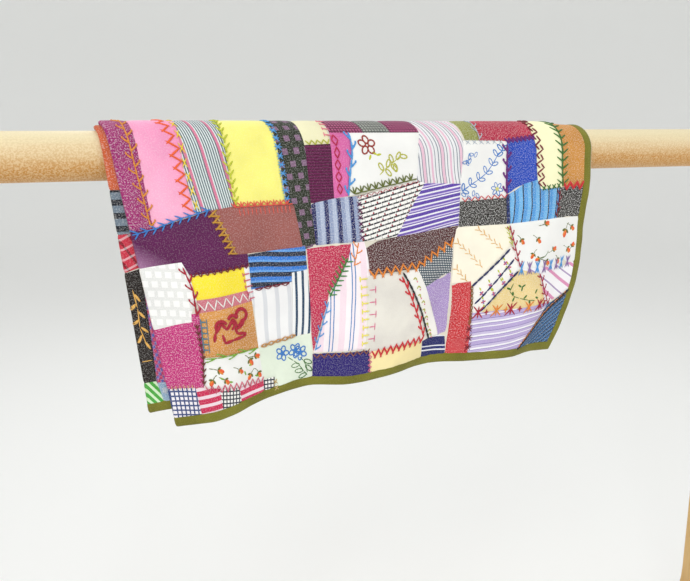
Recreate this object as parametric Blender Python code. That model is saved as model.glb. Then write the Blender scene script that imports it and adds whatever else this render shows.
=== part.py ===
"""Quilt on a rack: a folded crazy quilt laid over the round top rail of a free-standing trestle rack.

Metres, +Z up. X runs along the rail, the front faces -Y, and the origin is on the floor below the middle.
"""

import math

import bmesh
import bpy
from mathutils import Matrix

# ---- Driving sizes -------------------------------------------------------------------------------
FIT = 0.0003  # gap between wooden pieces that touch
BORE_FIT = 0.0003  # radial gap round a screw, peg or tenon
FACETS = 40  # sides of a large turned piece
SMALL_FACETS = 20  # sides of a screw, peg or pad

# Rack
RAIL_RADIUS = 0.024
RAIL_HEIGHT = 0.86  # of the rail's axis
CLEAR_WIDTH = 0.98  # between the two posts
POST_THICKNESS = 0.030
HEAD_RIM = 0.026  # of the post's round head, outside the rail
POST_WAIST = 0.062
POST_FOOT_WIDTH = 0.104
POST_FLARE_HEIGHT = 0.13
FOOT_LENGTH = 0.340
FOOT_THICKNESS = 0.038
FOOT_HEIGHT = 0.074
FOOT_TOE_HEIGHT = 0.030
FOOT_ARCH = 0.020
FOOT_SEAT = 0.066  # half width of the flat top that the post stands on
PAD_RADIUS = 0.013
PAD_THICKNESS = 0.003
PAD_INSET = 0.026  # from the toe's end to the pad's centre
EDGE_ROUND = 0.002

# Joinery
RAIL_TENON_RADIUS = 0.014
RAIL_TENON_SHARE = 0.55  # of the post's thickness
SCREW_RADIUS = 0.0025
SCREW_LENGTH = 0.060
SCREW_HEAD_RADIUS = 0.0048
SCREW_HEAD_HEIGHT = 0.003
BUTTON_RADIUS = 0.0075
BUTTON_SHANK_RADIUS = 0.0055
BUTTON_SHANK_LENGTH = 0.004
BUTTON_DOME = 0.004
FOOT_TENON_WIDTH = 0.060
FOOT_TENON_THICKNESS = 0.014
FOOT_TENON_DEPTH = 0.042
PEG_RADIUS = 0.004
PEG_SPACING = 0.032
STRETCHER_HEIGHT = 0.150  # of its middle
STRETCHER_DEPTH = 0.070
STRETCHER_THICKNESS = 0.022
STRETCHER_TENON_DEPTH = 0.050
STRETCHER_TENON_THICKNESS = 0.016
STRETCHER_TENON_REACH = 0.034  # past the post's outer face
WEDGE_THICKNESS = 0.007
WEDGE_WIDTH_TOP = 0.016
WEDGE_WIDTH_BOTTOM = 0.010
WEDGE_LENGTH = 0.084

# Quilt: folded in half twice, so each half below is two leaves of cloth
HALF_THICKNESS = 0.004
CLOTH_GAP = 0.0005
QUILT_WIDTH = 0.561  # over the rail
QUILT_LEFT = -0.349  # the upper half's fold, at the ridge over the rail
LEFT_SLANT = 0.167  # how the fold drifts in, per metre of cloth below the ridge
RIGHT_SLANT = 0.08  # the same for the bound edge, down the back only
RIGHT_DRAW = 0.011  # and draws in between the next two lengths of cloth
RIGHT_DRAW_START = 0.080
RIGHT_DRAW_END = 0.145
RIGHT_TUCK = 0.044  # how far the bound edge curls in at the front hem
RIGHT_TUCK_START = 0.150  # cloth below the ridge before it does
RIGHT_RIDGE_PULL = 0.004  # how far the bound edge draws in over the rail
FRONT_DROP = 0.242  # hem below the rail's axis
CORNER_DROP = 0.030  # how much lower the left corner hangs
CORNER_REACH = 0.22
BACK_DROP = 0.248
UNDER_LEFT_SHIFT = 0.0045  # the under half peeps out by this much at the ridge
UNDER_TURN = 0.060  # and is turned by this slope, so that it peeps out more below
UNDER_RIGHT_INSET = 0.012
UNDER_BACK_INSET = 0.0046
WAVE_CLEARANCE = 0.0005  # from a wave's trough to the rail's side, as the quilt is lifted
WAVE_DEPTH = 0.0085  # of the waves that the hanging cloth falls in
WAVE_LENGTH = 0.200
WAVE_START = 0.079  # from the fold to the first crest
WAVE_GROWTH = 0.8  # of the way down to the last row, where the waves are full
BACK_WAVE = 0.6
BINDING_WIDTH = 0.0105
BINDING_PROUD = 0.0008
COLUMNS = 12
ARC_STEPS = 12
DROP_STEPS = 6  # rows down the hanging cloth, above the hem's

# ---- Sizes that follow ---------------------------------------------------------------------------
POST_INNER = CLEAR_WIDTH / 2
POST_MIDDLE = POST_INNER + POST_THICKNESS / 2
POST_OUTER = POST_INNER + POST_THICKNESS
FOOT_BASE = PAD_THICKNESS + FIT
FOOT_TOP = FOOT_BASE + FOOT_HEIGHT
POST_BASE = FOOT_TOP + FIT
POST_HEAD_RADIUS = RAIL_RADIUS + HEAD_RIM
RAIL_TENON_LENGTH = POST_THICKNESS * RAIL_TENON_SHARE
COUNTERBORE = SCREW_HEAD_HEIGHT + BUTTON_SHANK_LENGTH + 2 * FIT
UNDER_LIFT = (RAIL_RADIUS + CLOTH_GAP) / math.cos(math.pi / 2 / ARC_STEPS) - RAIL_RADIUS
UPPER_LIFT = UNDER_LIFT + HALF_THICKNESS + CLOTH_GAP
BEND_RADIUS = RAIL_RADIUS + UPPER_LIFT + HALF_THICKNESS / 2
QUARTER_BEND = BEND_RADIUS * math.pi / 2
WAVE_FORWARD = WAVE_DEPTH + WAVE_CLEARANCE
LAST_ROW = FRONT_DROP - UNDER_TURN * QUILT_WIDTH - 2 * BINDING_WIDTH  # below the rail's axis


# ---- Shop tools ----------------------------------------------------------------------------------
def clear_scene():
    for obj in list(bpy.data.objects):
        bpy.data.objects.remove(obj)


def material(name, colour, roughness):
    mat = bpy.data.materials.new(name)
    mat.use_nodes = True
    shader = mat.node_tree.nodes["Principled BSDF"]
    shader.inputs["Base Color"].default_value = (*colour, 1.0)
    shader.inputs["Roughness"].default_value = roughness
    shader.inputs["Metallic"].default_value = 0.0
    return mat


def metal(name, colour, roughness):
    mat = material(name, colour, roughness)
    mat.node_tree.nodes["Principled BSDF"].inputs["Metallic"].default_value = 1.0
    return mat


def empty(name, location):
    obj = bpy.data.objects.new(name, None)
    obj.location = location
    bpy.context.scene.collection.objects.link(obj)
    return obj


def piece(name, bm, mat, parent, location=(0, 0, 0), smooth=None):
    """Makes an object of bm, in place under its parent. smooth is the angle, in degrees, that stays sharp."""
    bmesh.ops.recalc_face_normals(bm, faces=bm.faces)
    mesh = bpy.data.meshes.new(name)
    bm.to_mesh(mesh)
    bm.free()
    if smooth:
        mesh.shade_smooth()
        mesh.set_sharp_from_angle(angle=math.radians(smooth))
    obj = bpy.data.objects.new(name, mesh)
    bpy.context.scene.collection.objects.link(obj)
    if mat:
        mesh.materials.append(mat)
    obj.parent = parent
    obj.location = location
    return obj


def cut(obj, bm, location):
    """Cuts bm's shape, at a place in obj's own frame, out of obj."""
    tool = piece(f"{obj.name}_cutter", bm, None, obj, location)
    tool.hide_render = True
    tool.display_type = "WIRE"
    boolean = obj.modifiers.new(tool.name, "BOOLEAN")
    boolean.operation = "DIFFERENCE"
    boolean.object = tool


def block(size, rounding=0.0):
    bm = bmesh.new()
    bmesh.ops.create_cube(bm, size=1.0)
    bmesh.ops.scale(bm, vec=size, verts=bm.verts)
    if rounding:
        bevel(bm, bm.edges, rounding)
    return bm


def bevel(bm, edges, width):
    bmesh.ops.bevel(
        bm, geom=list(edges), offset=width, segments=2, profile=0.5, affect="EDGES", material=-1
    )


def turned(profile, facets):
    """A solid turned about X from (along, radius) points, with a flat face at each end."""
    bm = bmesh.new()
    ring = [bm.verts.new((along, radius, 0.0)) for along, radius in profile]
    edges = [bm.edges.new(pair) for pair in zip(ring, ring[1:])]
    bmesh.ops.spin(
        bm,
        geom=ring + edges,
        cent=(0, 0, 0),
        axis=(1, 0, 0),
        angle=math.tau,
        steps=facets,
        use_merge=True,
    )
    bmesh.ops.remove_doubles(bm, verts=bm.verts, dist=1e-6)
    bmesh.ops.holes_fill(bm, edges=bm.edges, sides=0)
    return bm


def rod(radius, length, facets):
    """A round rod along X, centred."""
    return turned([(-length / 2, radius), (length / 2, radius)], facets)


def board(outline, thickness, rounding):
    """A board in the YZ plane, of a (y, z) outline, centred on its thickness, with its rims eased."""
    bm = bmesh.new()
    face = bm.faces.new([bm.verts.new((-thickness / 2, y, z)) for y, z in outline])
    extruded = bmesh.ops.extrude_face_region(bm, geom=[face])
    moved = [v for v in extruded["geom"] if isinstance(v, bmesh.types.BMVert)]
    bmesh.ops.translate(bm, vec=(thickness, 0, 0), verts=moved)
    rims = [e for e in bm.edges if abs(e.verts[0].co.x - e.verts[1].co.x) < 1e-7]
    bevel(bm, rims, rounding)
    return bm


def smooth_step(t):
    t = min(max(t, 0.0), 1.0)
    return t * t * (3 - 2 * t)


def mirrored(points):
    """A closed outline from its right half, listed bottom to top."""
    return points + [(-y, z) for y, z in reversed(points) if y > 1e-9]


# ---- End frames ----------------------------------------------------------------------------------
def post_outline():
    """A slim board with a flared foot and a round head about the rail's axis. z is from its shoulder."""
    axis = RAIL_HEIGHT - POST_BASE
    neck_blend = 0.006
    points = []
    heights = [POST_FLARE_HEIGHT * i / 8 for i in range(9)]
    turns = [math.radians(a) for a in (24, 34, 42, 50, 60, 70, 80, 90)]
    heights += [axis - POST_HEAD_RADIUS * math.cos(a) for a in turns]
    for z in heights:
        flare = 1 - smooth_step(z / POST_FLARE_HEIGHT)
        stem = POST_WAIST / 2 + (POST_FOOT_WIDTH - POST_WAIST) / 2 * flare
        head = math.sqrt(max(POST_HEAD_RADIUS**2 - (axis - z) ** 2, 0.0))
        blend = math.hypot(stem - head, neck_blend) if head else stem - head
        points.append(((stem + head + blend) / 2, z))
    for a in range(100, 181, 10):
        turn = math.radians(a)
        points.append((POST_HEAD_RADIUS * math.sin(turn), axis - POST_HEAD_RADIUS * math.cos(turn)))
    return mirrored(points)


def foot_outline():
    """A trestle foot with rising toes and an arch under its middle. z is from its sole."""
    half, shoulder = FOOT_LENGTH / 2, FOOT_SEAT
    sole = half - 2 * PAD_INSET
    top = [(0.0, FOOT_HEIGHT), (shoulder, FOOT_HEIGHT)]
    for i in range(1, 9):
        t = i / 8
        y = shoulder + (half - shoulder - 0.008) * t
        top.append((y, FOOT_TOE_HEIGHT + (FOOT_HEIGHT - FOOT_TOE_HEIGHT) * (1 - smooth_step(t))))
    toe = [(half, FOOT_TOE_HEIGHT - 0.010), (half, 0.004), (half - 0.004, 0.0), (sole, 0.0)]
    turns = [math.radians(15 * i) for i in range(1, 7)]
    arch = [(sole * math.cos(a), FOOT_ARCH * math.sin(a)) for a in turns]
    right = list(reversed(arch)) + list(reversed(toe)) + list(reversed(top[1:]))
    return right + [(-y, z) for y, z in reversed(right) if y > 1e-6]


def end_frame(side, rack, woods):
    """Post, foot, pegs and pads of one end. side is -1 for the left end and 1 for the right one."""
    name = "left" if side < 0 else "right"
    middle = side * POST_MIDDLE
    post = piece(f"{name}_post", board(post_outline(), POST_THICKNESS, EDGE_ROUND), woods["post"], rack,
                 (middle, 0, POST_BASE))
    tenon = block((FOOT_TENON_THICKNESS, FOOT_TENON_WIDTH, FOOT_TENON_DEPTH + 0.01))
    join = piece(f"{name}_post_tenon", tenon, None, post, (0, 0, 0.005 - FOOT_TENON_DEPTH / 2))
    join.hide_render = True
    join.display_type = "WIRE"
    union = post.modifiers.new("foot_tenon", "BOOLEAN")
    union.operation = "UNION"
    union.object = join
    axis = RAIL_HEIGHT - POST_BASE
    socket = RAIL_TENON_LENGTH + FIT
    half = POST_THICKNESS / 2
    cut(post, rod(RAIL_TENON_RADIUS + BORE_FIT, socket + 0.01, FACETS),
        (-side * (half + 0.005 - socket / 2), 0, axis))
    cut(post, rod(SCREW_RADIUS + BORE_FIT, POST_THICKNESS * 2, SMALL_FACETS), (0, 0, axis))
    cut(post, rod(BUTTON_SHANK_RADIUS + BORE_FIT, COUNTERBORE + 0.01, SMALL_FACETS),
        (side * (half + 0.005 - COUNTERBORE / 2), 0, axis))
    mortise = (POST_THICKNESS * 2, STRETCHER_TENON_THICKNESS + 2 * FIT, STRETCHER_TENON_DEPTH + 2 * FIT)
    cut(post, block(mortise), (0, 0, STRETCHER_HEIGHT - POST_BASE))

    foot = piece(f"{name}_foot", board(foot_outline(), FOOT_THICKNESS, EDGE_ROUND), woods["post"], rack,
                 (middle, 0, FOOT_BASE))
    pocket = (FOOT_TENON_THICKNESS + 2 * FIT, FOOT_TENON_WIDTH + 2 * FIT, FOOT_TENON_DEPTH + FIT + 0.01)
    cut(foot, block(pocket), (0, 0, FOOT_HEIGHT + 0.01 - pocket[2] / 2))
    peg_height = FOOT_TOP - FOOT_TENON_DEPTH / 2 - 0.002
    for end, y in (("front", -PEG_SPACING / 2), ("back", PEG_SPACING / 2)):
        for owner, base in ((post, POST_BASE), (foot, FOOT_BASE)):
            hole = rod(PEG_RADIUS + BORE_FIT, FOOT_THICKNESS * 2, SMALL_FACETS)
            cut(owner, hole, (0, y, peg_height - base))
        dome = 0.0012
        reach = FOOT_THICKNESS / 2
        tip = PEG_RADIUS * 0.6
        peg = turned([(-reach - dome, tip), (-reach, PEG_RADIUS), (reach, PEG_RADIUS), (reach + dome, tip)],
                     SMALL_FACETS)
        piece(f"{name}_{end}_peg", peg, woods["peg"], rack, (middle, y, peg_height), 50)
    for end, y in (("front", -1), ("back", 1)):
        pad = rod(PAD_RADIUS, PAD_THICKNESS, SMALL_FACETS)
        bmesh.ops.rotate(pad, cent=(0, 0, 0), matrix=Matrix.Rotation(math.pi / 2, 3, "Y"), verts=pad.verts)
        piece(f"{name}_{end}_pad", pad, woods["felt"], rack,
              (middle, y * (FOOT_LENGTH / 2 - PAD_INSET), PAD_THICKNESS / 2), 50)


# ---- Rail and its fixings ------------------------------------------------------------------------
def rail(rack, woods):
    """The round rail with a shouldered tenon at each end and a pilot hole for each screw."""
    shoulder = POST_INNER - FIT
    tip = POST_INNER + RAIL_TENON_LENGTH
    ease = 0.0015
    right = [
        (tip, RAIL_TENON_RADIUS - ease),
        (tip - ease, RAIL_TENON_RADIUS),
        (shoulder, RAIL_TENON_RADIUS),
        (shoulder, RAIL_RADIUS - ease),
        (shoulder - ease, RAIL_RADIUS),
    ]
    profile = [(-along, radius) for along, radius in right] + right[::-1]
    bar = piece("top_rail", turned(profile, FACETS), woods["rail"], rack, (0, 0, RAIL_HEIGHT), 40)
    for side in (-1, 1):
        hole = SCREW_LENGTH + 2 * FIT
        start = POST_OUTER - COUNTERBORE
        cut(bar, rod(SCREW_RADIUS + BORE_FIT, hole, SMALL_FACETS), (side * (start - hole / 2 + FIT), 0, 0))


def rail_fixing(side, rack, woods):
    """The wood screw that holds the rail to a post, and the turned button that hides its head."""
    name = "left" if side < 0 else "right"
    seat = POST_OUTER - COUNTERBORE + FIT
    screw = turned(
        [
            (-SCREW_LENGTH, SCREW_RADIUS * 0.3),
            (-SCREW_LENGTH + 0.006, SCREW_RADIUS),
            (0, SCREW_RADIUS),
            (0, SCREW_HEAD_RADIUS),
            (SCREW_HEAD_HEIGHT * 0.6, SCREW_HEAD_RADIUS),
            (SCREW_HEAD_HEIGHT, SCREW_HEAD_RADIUS * 0.7),
        ],
        SMALL_FACETS,
    )
    if side < 0:
        bmesh.ops.rotate(screw, cent=(0, 0, 0), matrix=Matrix.Rotation(math.pi, 3, "Z"), verts=screw.verts)
    obj = piece(f"{name}_rail_screw", screw, woods["steel"], rack, (side * seat, 0, RAIL_HEIGHT), 40)
    slot_depth = 0.0012
    cut(obj, block((slot_depth * 2, SCREW_HEAD_RADIUS * 3, 0.0012)), (side * SCREW_HEAD_HEIGHT, 0, 0))
    dome = [
        (FIT + BUTTON_DOME * math.sin(a), BUTTON_RADIUS * math.cos(a))
        for a in (math.radians(18 * i) for i in range(5))
    ]
    shank_end = FIT - BUTTON_SHANK_LENGTH
    button = turned([(shank_end, BUTTON_SHANK_RADIUS), (FIT, BUTTON_SHANK_RADIUS)] + dome, SMALL_FACETS)
    if side < 0:
        bmesh.ops.rotate(button, cent=(0, 0, 0), matrix=Matrix.Rotation(math.pi, 3, "Z"), verts=button.verts)
    piece(f"{name}_screw_button", button, woods["peg"], rack, (side * POST_OUTER, 0, RAIL_HEIGHT), 50)


# ---- Stretcher and wedges ------------------------------------------------------------------------
def stretcher(rack, woods):
    """The low board that ties the end frames together, with a through tenon at each end."""
    length = CLEAR_WIDTH - 2 * FIT
    body = block((length, STRETCHER_THICKNESS, STRETCHER_DEPTH), EDGE_ROUND)
    tie = piece("stretcher", body, woods["post"], rack, (0, 0, STRETCHER_HEIGHT))
    tip_to_tip = 2 * (POST_OUTER + STRETCHER_TENON_REACH)
    tongue = block((tip_to_tip, STRETCHER_TENON_THICKNESS, STRETCHER_TENON_DEPTH))
    join = piece("stretcher_tenons", tongue, None, tie)
    join.hide_render = True
    join.display_type = "WIRE"
    union = tie.modifiers.new("tenons", "BOOLEAN")
    union.operation = "UNION"
    union.object = join
    for side in (-1, 1):
        slot = wedge_shape(side, FIT, WEDGE_LENGTH * 1.5)
        cut(tie, slot, (side * POST_OUTER, 0, 0))


def wedge_shape(side, grow, length):
    """A key that tapers downwards, its straight face against the post. x is from the post's outer face."""
    bm = bmesh.new()
    slope = (WEDGE_WIDTH_TOP - WEDGE_WIDTH_BOTTOM) / WEDGE_LENGTH
    middle = (WEDGE_WIDTH_TOP + WEDGE_WIDTH_BOTTOM) / 2
    outline = []
    for z in (-length / 2, length / 2):
        outline.append((FIT - grow, z))
        outline.append((FIT + middle + slope * z + grow, z))
    low_in, low_out, high_in, high_out = outline
    thickness = WEDGE_THICKNESS + 2 * grow
    face = bm.faces.new(
        [bm.verts.new((side * x, -thickness / 2, z)) for x, z in (low_in, low_out, high_out, high_in)]
    )
    extruded = bmesh.ops.extrude_face_region(bm, geom=[face])
    moved = [v for v in extruded["geom"] if isinstance(v, bmesh.types.BMVert)]
    bmesh.ops.translate(bm, vec=(0, thickness, 0), verts=moved)
    return bm


def wedge(side, rack, woods):
    name = "left" if side < 0 else "right"
    key = wedge_shape(side, 0.0, WEDGE_LENGTH)
    bevel(key, key.edges, 0.001)
    piece(f"{name}_wedge", key, woods["peg"], rack, (side * POST_OUTER, 0, STRETCHER_HEIGHT))


# ---- Quilt ---------------------------------------------------------------------------------------
def upper_edges(along):
    """X of the fold and of the bound edge at a length of cloth from the ridge, positive down the front."""
    below = abs(along)
    curl = max(along - RIGHT_TUCK_START, 0.0) / (QUARTER_BEND + FRONT_DROP - RIGHT_TUCK_START)
    pull = RIGHT_RIDGE_PULL * (1 - smooth_step(below / QUARTER_BEND))
    left = QUILT_LEFT + LEFT_SLANT * below
    draw = RIGHT_DRAW * smooth_step((along - RIGHT_DRAW_START) / (RIGHT_DRAW_END - RIGHT_DRAW_START))
    right = QUILT_LEFT + QUILT_WIDTH - pull - draw - RIGHT_TUCK * curl**2 - RIGHT_SLANT * max(-along, 0.0)
    return left, right


def edges(along, under):
    left, right = upper_edges(along)
    turn = UNDER_TURN * max(along, 0.0)
    return (left - UNDER_LEFT_SHIFT - turn, right - UNDER_RIGHT_INSET - turn) if under else (left, right)


def front_length(share, under):
    """Cloth from the ridge to the front hem, at a share of the way from the fold to the bound edge."""
    if under:
        return QUARTER_BEND + FRONT_DROP - UNDER_TURN * share * QUILT_WIDTH
    return QUARTER_BEND + FRONT_DROP + CORNER_DROP * (1 - smooth_step(share * QUILT_WIDTH / CORNER_REACH))


def back_length(under):
    return QUARTER_BEND + BACK_DROP - (UNDER_BACK_INSET if under else 0.0)


def wave(share):
    """How far the cloth stands forward in full waves: straight between columns, flat at the sides."""
    column = min(max(math.floor(share * COLUMNS), 0), COLUMNS - 1)
    crests = []
    for c in (column, column + 1):
        across = min(max(c, 1), COLUMNS - 1) / COLUMNS * QUILT_WIDTH
        crests.append(WAVE_DEPTH * math.cos(math.tau * (across - WAVE_START) / WAVE_LENGTH))
    return WAVE_FORWARD + crests[0] + (crests[1] - crests[0]) * (share * COLUMNS - column)


def drape(x, along, lift):
    """A point of the hanging cloth, from the rail's axis. lift is its height over the rail's surface."""
    radius = RAIL_RADIUS + lift
    below = abs(along) - QUARTER_BEND
    front = 1 if along >= 0 else -1
    if below <= 0:
        angle = along / BEND_RADIUS
        return (x, -radius * math.sin(angle), radius * math.cos(angle))
    left, right = upper_edges(along)
    growth = smooth_step(below / (WAVE_GROWTH * LAST_ROW)) * (1 if front > 0 else BACK_WAVE)
    return (x, -front * (radius + wave((x - left) / (right - left)) * growth), -below)


def cloth(name, sides, ends, lifts, mat, quilt):
    """A closed pad of cloth. sides gives its x limits at a row, and ends its lengths at a column's share."""
    low, high = ends(0.5)
    whole = high - low > QUARTER_BEND
    rows = [None, None]
    if whole:
        lines = [QUARTER_BEND + LAST_ROW * i / DROP_STEPS for i in range(DROP_STEPS + 1)]
        arc = [QUARTER_BEND * (2 * i / ARC_STEPS - 1) for i in range(1, ARC_STEPS)]
        rows = [None] + [-line for line in reversed(lines)] + arc + lines + [None]
    left, right = sides(0.0)
    wide = right - left > QUILT_WIDTH / 2
    columns = COLUMNS if wide else 1
    bm = bmesh.new()
    bmesh.ops.create_grid(bm, x_segments=columns, y_segments=len(rows) - 1, size=0.5)
    extruded = bmesh.ops.extrude_face_region(bm, geom=list(bm.faces))
    outer = {v for v in extruded["geom"] if isinstance(v, bmesh.types.BMVert)}
    for v in bm.verts:
        column = round((v.co.x + 0.5) * columns)
        row = round((v.co.y + 0.5) * (len(rows) - 1))
        share = column / columns if wide else 1.0
        along = ends(share)[0 if row == 0 else 1] if rows[row] is None else rows[row]
        x = sides(along)[0 if column == 0 else 1]
        if 0 < column < columns:
            left, right = upper_edges(along)
            x = left + (right - left) * share
        v.co = drape(x, along, lifts[1] if v in outer else lifts[0])
    return piece(name, bm, mat, quilt, smooth=40)


def quilt_half(name, under, quilt, fabrics):
    """One folded half: its two leaves as one pad, and the binding on its hem and on its right edge."""
    base = UNDER_LIFT if under else UPPER_LIFT
    bound = HALF_THICKNESS + (0.0 if under else BINDING_PROUD)

    def body_sides(along):
        left, right = edges(along, under)
        return left, right - BINDING_WIDTH - CLOTH_GAP

    def strip_sides(along):
        right = edges(along, under)[1]
        return right - BINDING_WIDTH, right

    def body_ends(share):
        return -back_length(under), front_length(share, under) - BINDING_WIDTH - CLOTH_GAP

    def hem_ends(share):
        return front_length(share, under) - BINDING_WIDTH, front_length(share, under)

    cloth(f"quilt_{name}_half", body_sides, body_ends, (base, base + HALF_THICKNESS), fabrics["quilt"], quilt)
    cloth(f"{name}_side_binding", strip_sides, body_ends, (base, base + bound), fabrics["binding"], quilt)
    cloth(f"{name}_hem_binding", lambda along: edges(along, under), hem_ends, (base, base + bound),
          fabrics["binding"], quilt)


# ---- Assembly ------------------------------------------------------------------------------------
def build():
    clear_scene()
    woods = {
        "rail": material("rail_wood", (0.85, 0.62, 0.30), 0.45),
        "post": material("frame_wood", (0.78, 0.53, 0.24), 0.45),
        "peg": material("peg_wood", (0.55, 0.32, 0.13), 0.45),
        "felt": material("pad_felt", (0.25, 0.20, 0.15), 0.95),
        "steel": metal("screw_steel", (0.60, 0.60, 0.62), 0.35),
    }
    fabrics = {
        "quilt": material("quilt_cloth", (0.70, 0.35, 0.45), 0.85),
        "binding": material("binding_cloth", (0.36, 0.38, 0.09), 0.85),
    }
    rack = empty("rack", (0, 0, 0))
    for side in (-1, 1):
        end_frame(side, rack, woods)
        rail_fixing(side, rack, woods)
        wedge(side, rack, woods)
    rail(rack, woods)
    stretcher(rack, woods)
    quilt = empty("quilt_lift", (0, 0, RAIL_HEIGHT))
    quilt_half("upper", False, quilt, fabrics)
    quilt_half("under", True, quilt, fabrics)


build()
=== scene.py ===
import math

import bmesh
import bpy
import numpy as np
from mathutils import Matrix, Vector


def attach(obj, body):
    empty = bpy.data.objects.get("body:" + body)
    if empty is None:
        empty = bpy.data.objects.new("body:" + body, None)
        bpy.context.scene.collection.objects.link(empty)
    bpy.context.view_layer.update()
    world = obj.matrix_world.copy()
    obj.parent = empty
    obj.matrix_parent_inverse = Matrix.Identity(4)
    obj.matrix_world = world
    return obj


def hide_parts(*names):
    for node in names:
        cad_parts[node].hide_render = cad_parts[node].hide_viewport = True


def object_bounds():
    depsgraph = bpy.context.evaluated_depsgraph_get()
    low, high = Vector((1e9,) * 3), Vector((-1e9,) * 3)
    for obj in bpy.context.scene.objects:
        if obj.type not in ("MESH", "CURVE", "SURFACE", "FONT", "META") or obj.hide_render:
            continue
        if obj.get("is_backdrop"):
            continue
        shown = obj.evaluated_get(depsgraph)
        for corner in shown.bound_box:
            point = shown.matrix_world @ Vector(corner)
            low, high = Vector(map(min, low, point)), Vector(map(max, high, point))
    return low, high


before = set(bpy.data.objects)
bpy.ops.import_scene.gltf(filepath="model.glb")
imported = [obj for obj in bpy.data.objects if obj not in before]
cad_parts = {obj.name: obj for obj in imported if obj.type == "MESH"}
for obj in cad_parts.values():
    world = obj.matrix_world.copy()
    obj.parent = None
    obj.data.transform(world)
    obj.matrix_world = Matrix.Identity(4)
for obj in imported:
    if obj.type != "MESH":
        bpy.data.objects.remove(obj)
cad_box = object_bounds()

# ---- Camera, floor and light ----------------------------------------------------------------
# A camera a little above the rail and left of the quilt, a wide pale bowl for a floor and wall
# without a join, and three soft panels of light. None of this is part of the object.
RAIL_HEIGHT = 0.86
LENS = 40.0
CAMERA_PLACE = (-0.408, -0.788, RAIL_HEIGHT + 0.0294)
CAMERA_TIP, CAMERA_TURN = 12.19, -21.65  # degrees down from level, and round from square on

camera = bpy.data.objects.new("camera", bpy.data.cameras.new("camera"))
camera.data.lens = LENS
camera.location = CAMERA_PLACE
camera.rotation_euler = (math.radians(90 - CAMERA_TIP), 0, math.radians(CAMERA_TURN))
bpy.context.scene.collection.objects.link(camera)
bpy.context.scene.camera = camera


class Socket:
    """A shader socket that takes the arithmetic operators by adding Math nodes."""

    def __init__(self, shader, socket):
        self.shader, self.socket = shader, socket

    def _math(self, operation, *values):
        return self.shader.node("ShaderNodeMath", {"operation": operation}, dict(enumerate(values)))

    def __add__(self, other):
        return self._math("ADD", self, other)

    def __sub__(self, other):
        return self._math("SUBTRACT", self, other)

    def __rsub__(self, other):
        return self._math("SUBTRACT", other, self)

    def __mul__(self, other):
        return self._math("MULTIPLY", self, other)

    __radd__ = __add__
    __rmul__ = __mul__

    def most(self, other):
        return self._math("MAXIMUM", self, other)

    def over(self, limit):
        return self._math("GREATER_THAN", self, limit)

    def power(self, exponent):
        return self._math("POWER", self, exponent)

    def sine(self):
        return self._math("SINE", self)

    def absolute(self):
        return self._math("ABSOLUTE", self)

    def fraction(self):
        return self._math("FRACT", self)

    def whole(self):
        return self._math("FLOOR", self)

    def ramp(self, low, high, to_low=0.0, to_high=1.0):
        values = dict(enumerate((self, low, high, to_low, to_high)))
        return self.shader.node("ShaderNodeMapRange", {"clamp": True}, values)


class Shader:
    """A new material's nodes, from its Principled shader outwards."""

    def __init__(self, name, roughness=0.8, metallic=0.0, sheen=0.0, shine=0.5):
        self.material = bpy.data.materials.new(name)
        self.material.use_nodes = True
        self.tree = self.material.node_tree
        self.shader = self.tree.nodes["Principled BSDF"]
        for socket, value in (("Roughness", roughness), ("Metallic", metallic),
                              ("Sheen Weight", sheen), ("Specular IOR Level", shine)):
            self.shader.inputs[socket].default_value = value

    def node(self, kind, settings, values, output=0):
        made = self.tree.nodes.new(kind)
        for key, value in settings.items():
            if key == "stops":
                self._stops(made.color_ramp, value)
            else:
                setattr(made, key, value)
        for key, value in values.items():
            self._feed(made.inputs[key], value)
        return Socket(self, made.outputs[output])

    @staticmethod
    def _stops(ramp, stops):
        while len(ramp.elements) < len(stops):
            ramp.elements.new(0.5)
        for element, (place, colour) in zip(ramp.elements, stops):
            element.position = place
            element.color = (*colour, 1.0)

    def _feed(self, target, value):
        if isinstance(value, Socket):
            self.tree.links.new(value.socket, target)
        elif isinstance(value, tuple) and len(value) == 3 and target.type == "RGBA":
            target.default_value = (*value, 1.0)
        else:
            target.default_value = value

    def feed(self, name, value):
        self._feed(self.shader.inputs[name], value)

    def mix(self, share, first, second):
        settings = {"data_type": "RGBA", "blend_type": "MIX"}
        return self.node("ShaderNodeMix", settings, {0: share, 6: first, 7: second}, 2)

    def noise(self, where, scale, detail=2.0, roughness=0.5):
        values = {"Vector": where, "Scale": scale, "Detail": detail, "Roughness": roughness}
        return self.node("ShaderNodeTexNoise", {}, values)

    def bump(self, height, strength, distance):
        values = {"Height": height, "Strength": strength, "Distance": distance}
        self.feed("Normal", self.node("ShaderNodeBump", {}, values))

    def place(self):
        return self.node("ShaderNodeTexCoord", {}, {}, "Object")

    def stretched(self, vector, scale, turn=0.0):
        values = {"Vector": vector, "Scale": scale, "Rotation": (0.0, 0.0, turn)}
        return self.node("ShaderNodeMapping", {}, values)

    def parts(self, vector):
        made = self.tree.nodes.new("ShaderNodeSeparateXYZ")
        self._feed(made.inputs[0], vector)
        return [Socket(self, out) for out in made.outputs]


def add_piece(name, mesh, material):
    mesh.materials.append(material)
    mesh.shade_smooth()
    piece = bpy.data.objects.new(name, mesh)
    bpy.context.scene.collection.objects.link(piece)
    return piece


def add_bmesh(name, bm, material):
    mesh = bpy.data.meshes.new(name)
    bm.to_mesh(mesh)
    bm.free()
    return add_piece(name, mesh, material)


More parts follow.
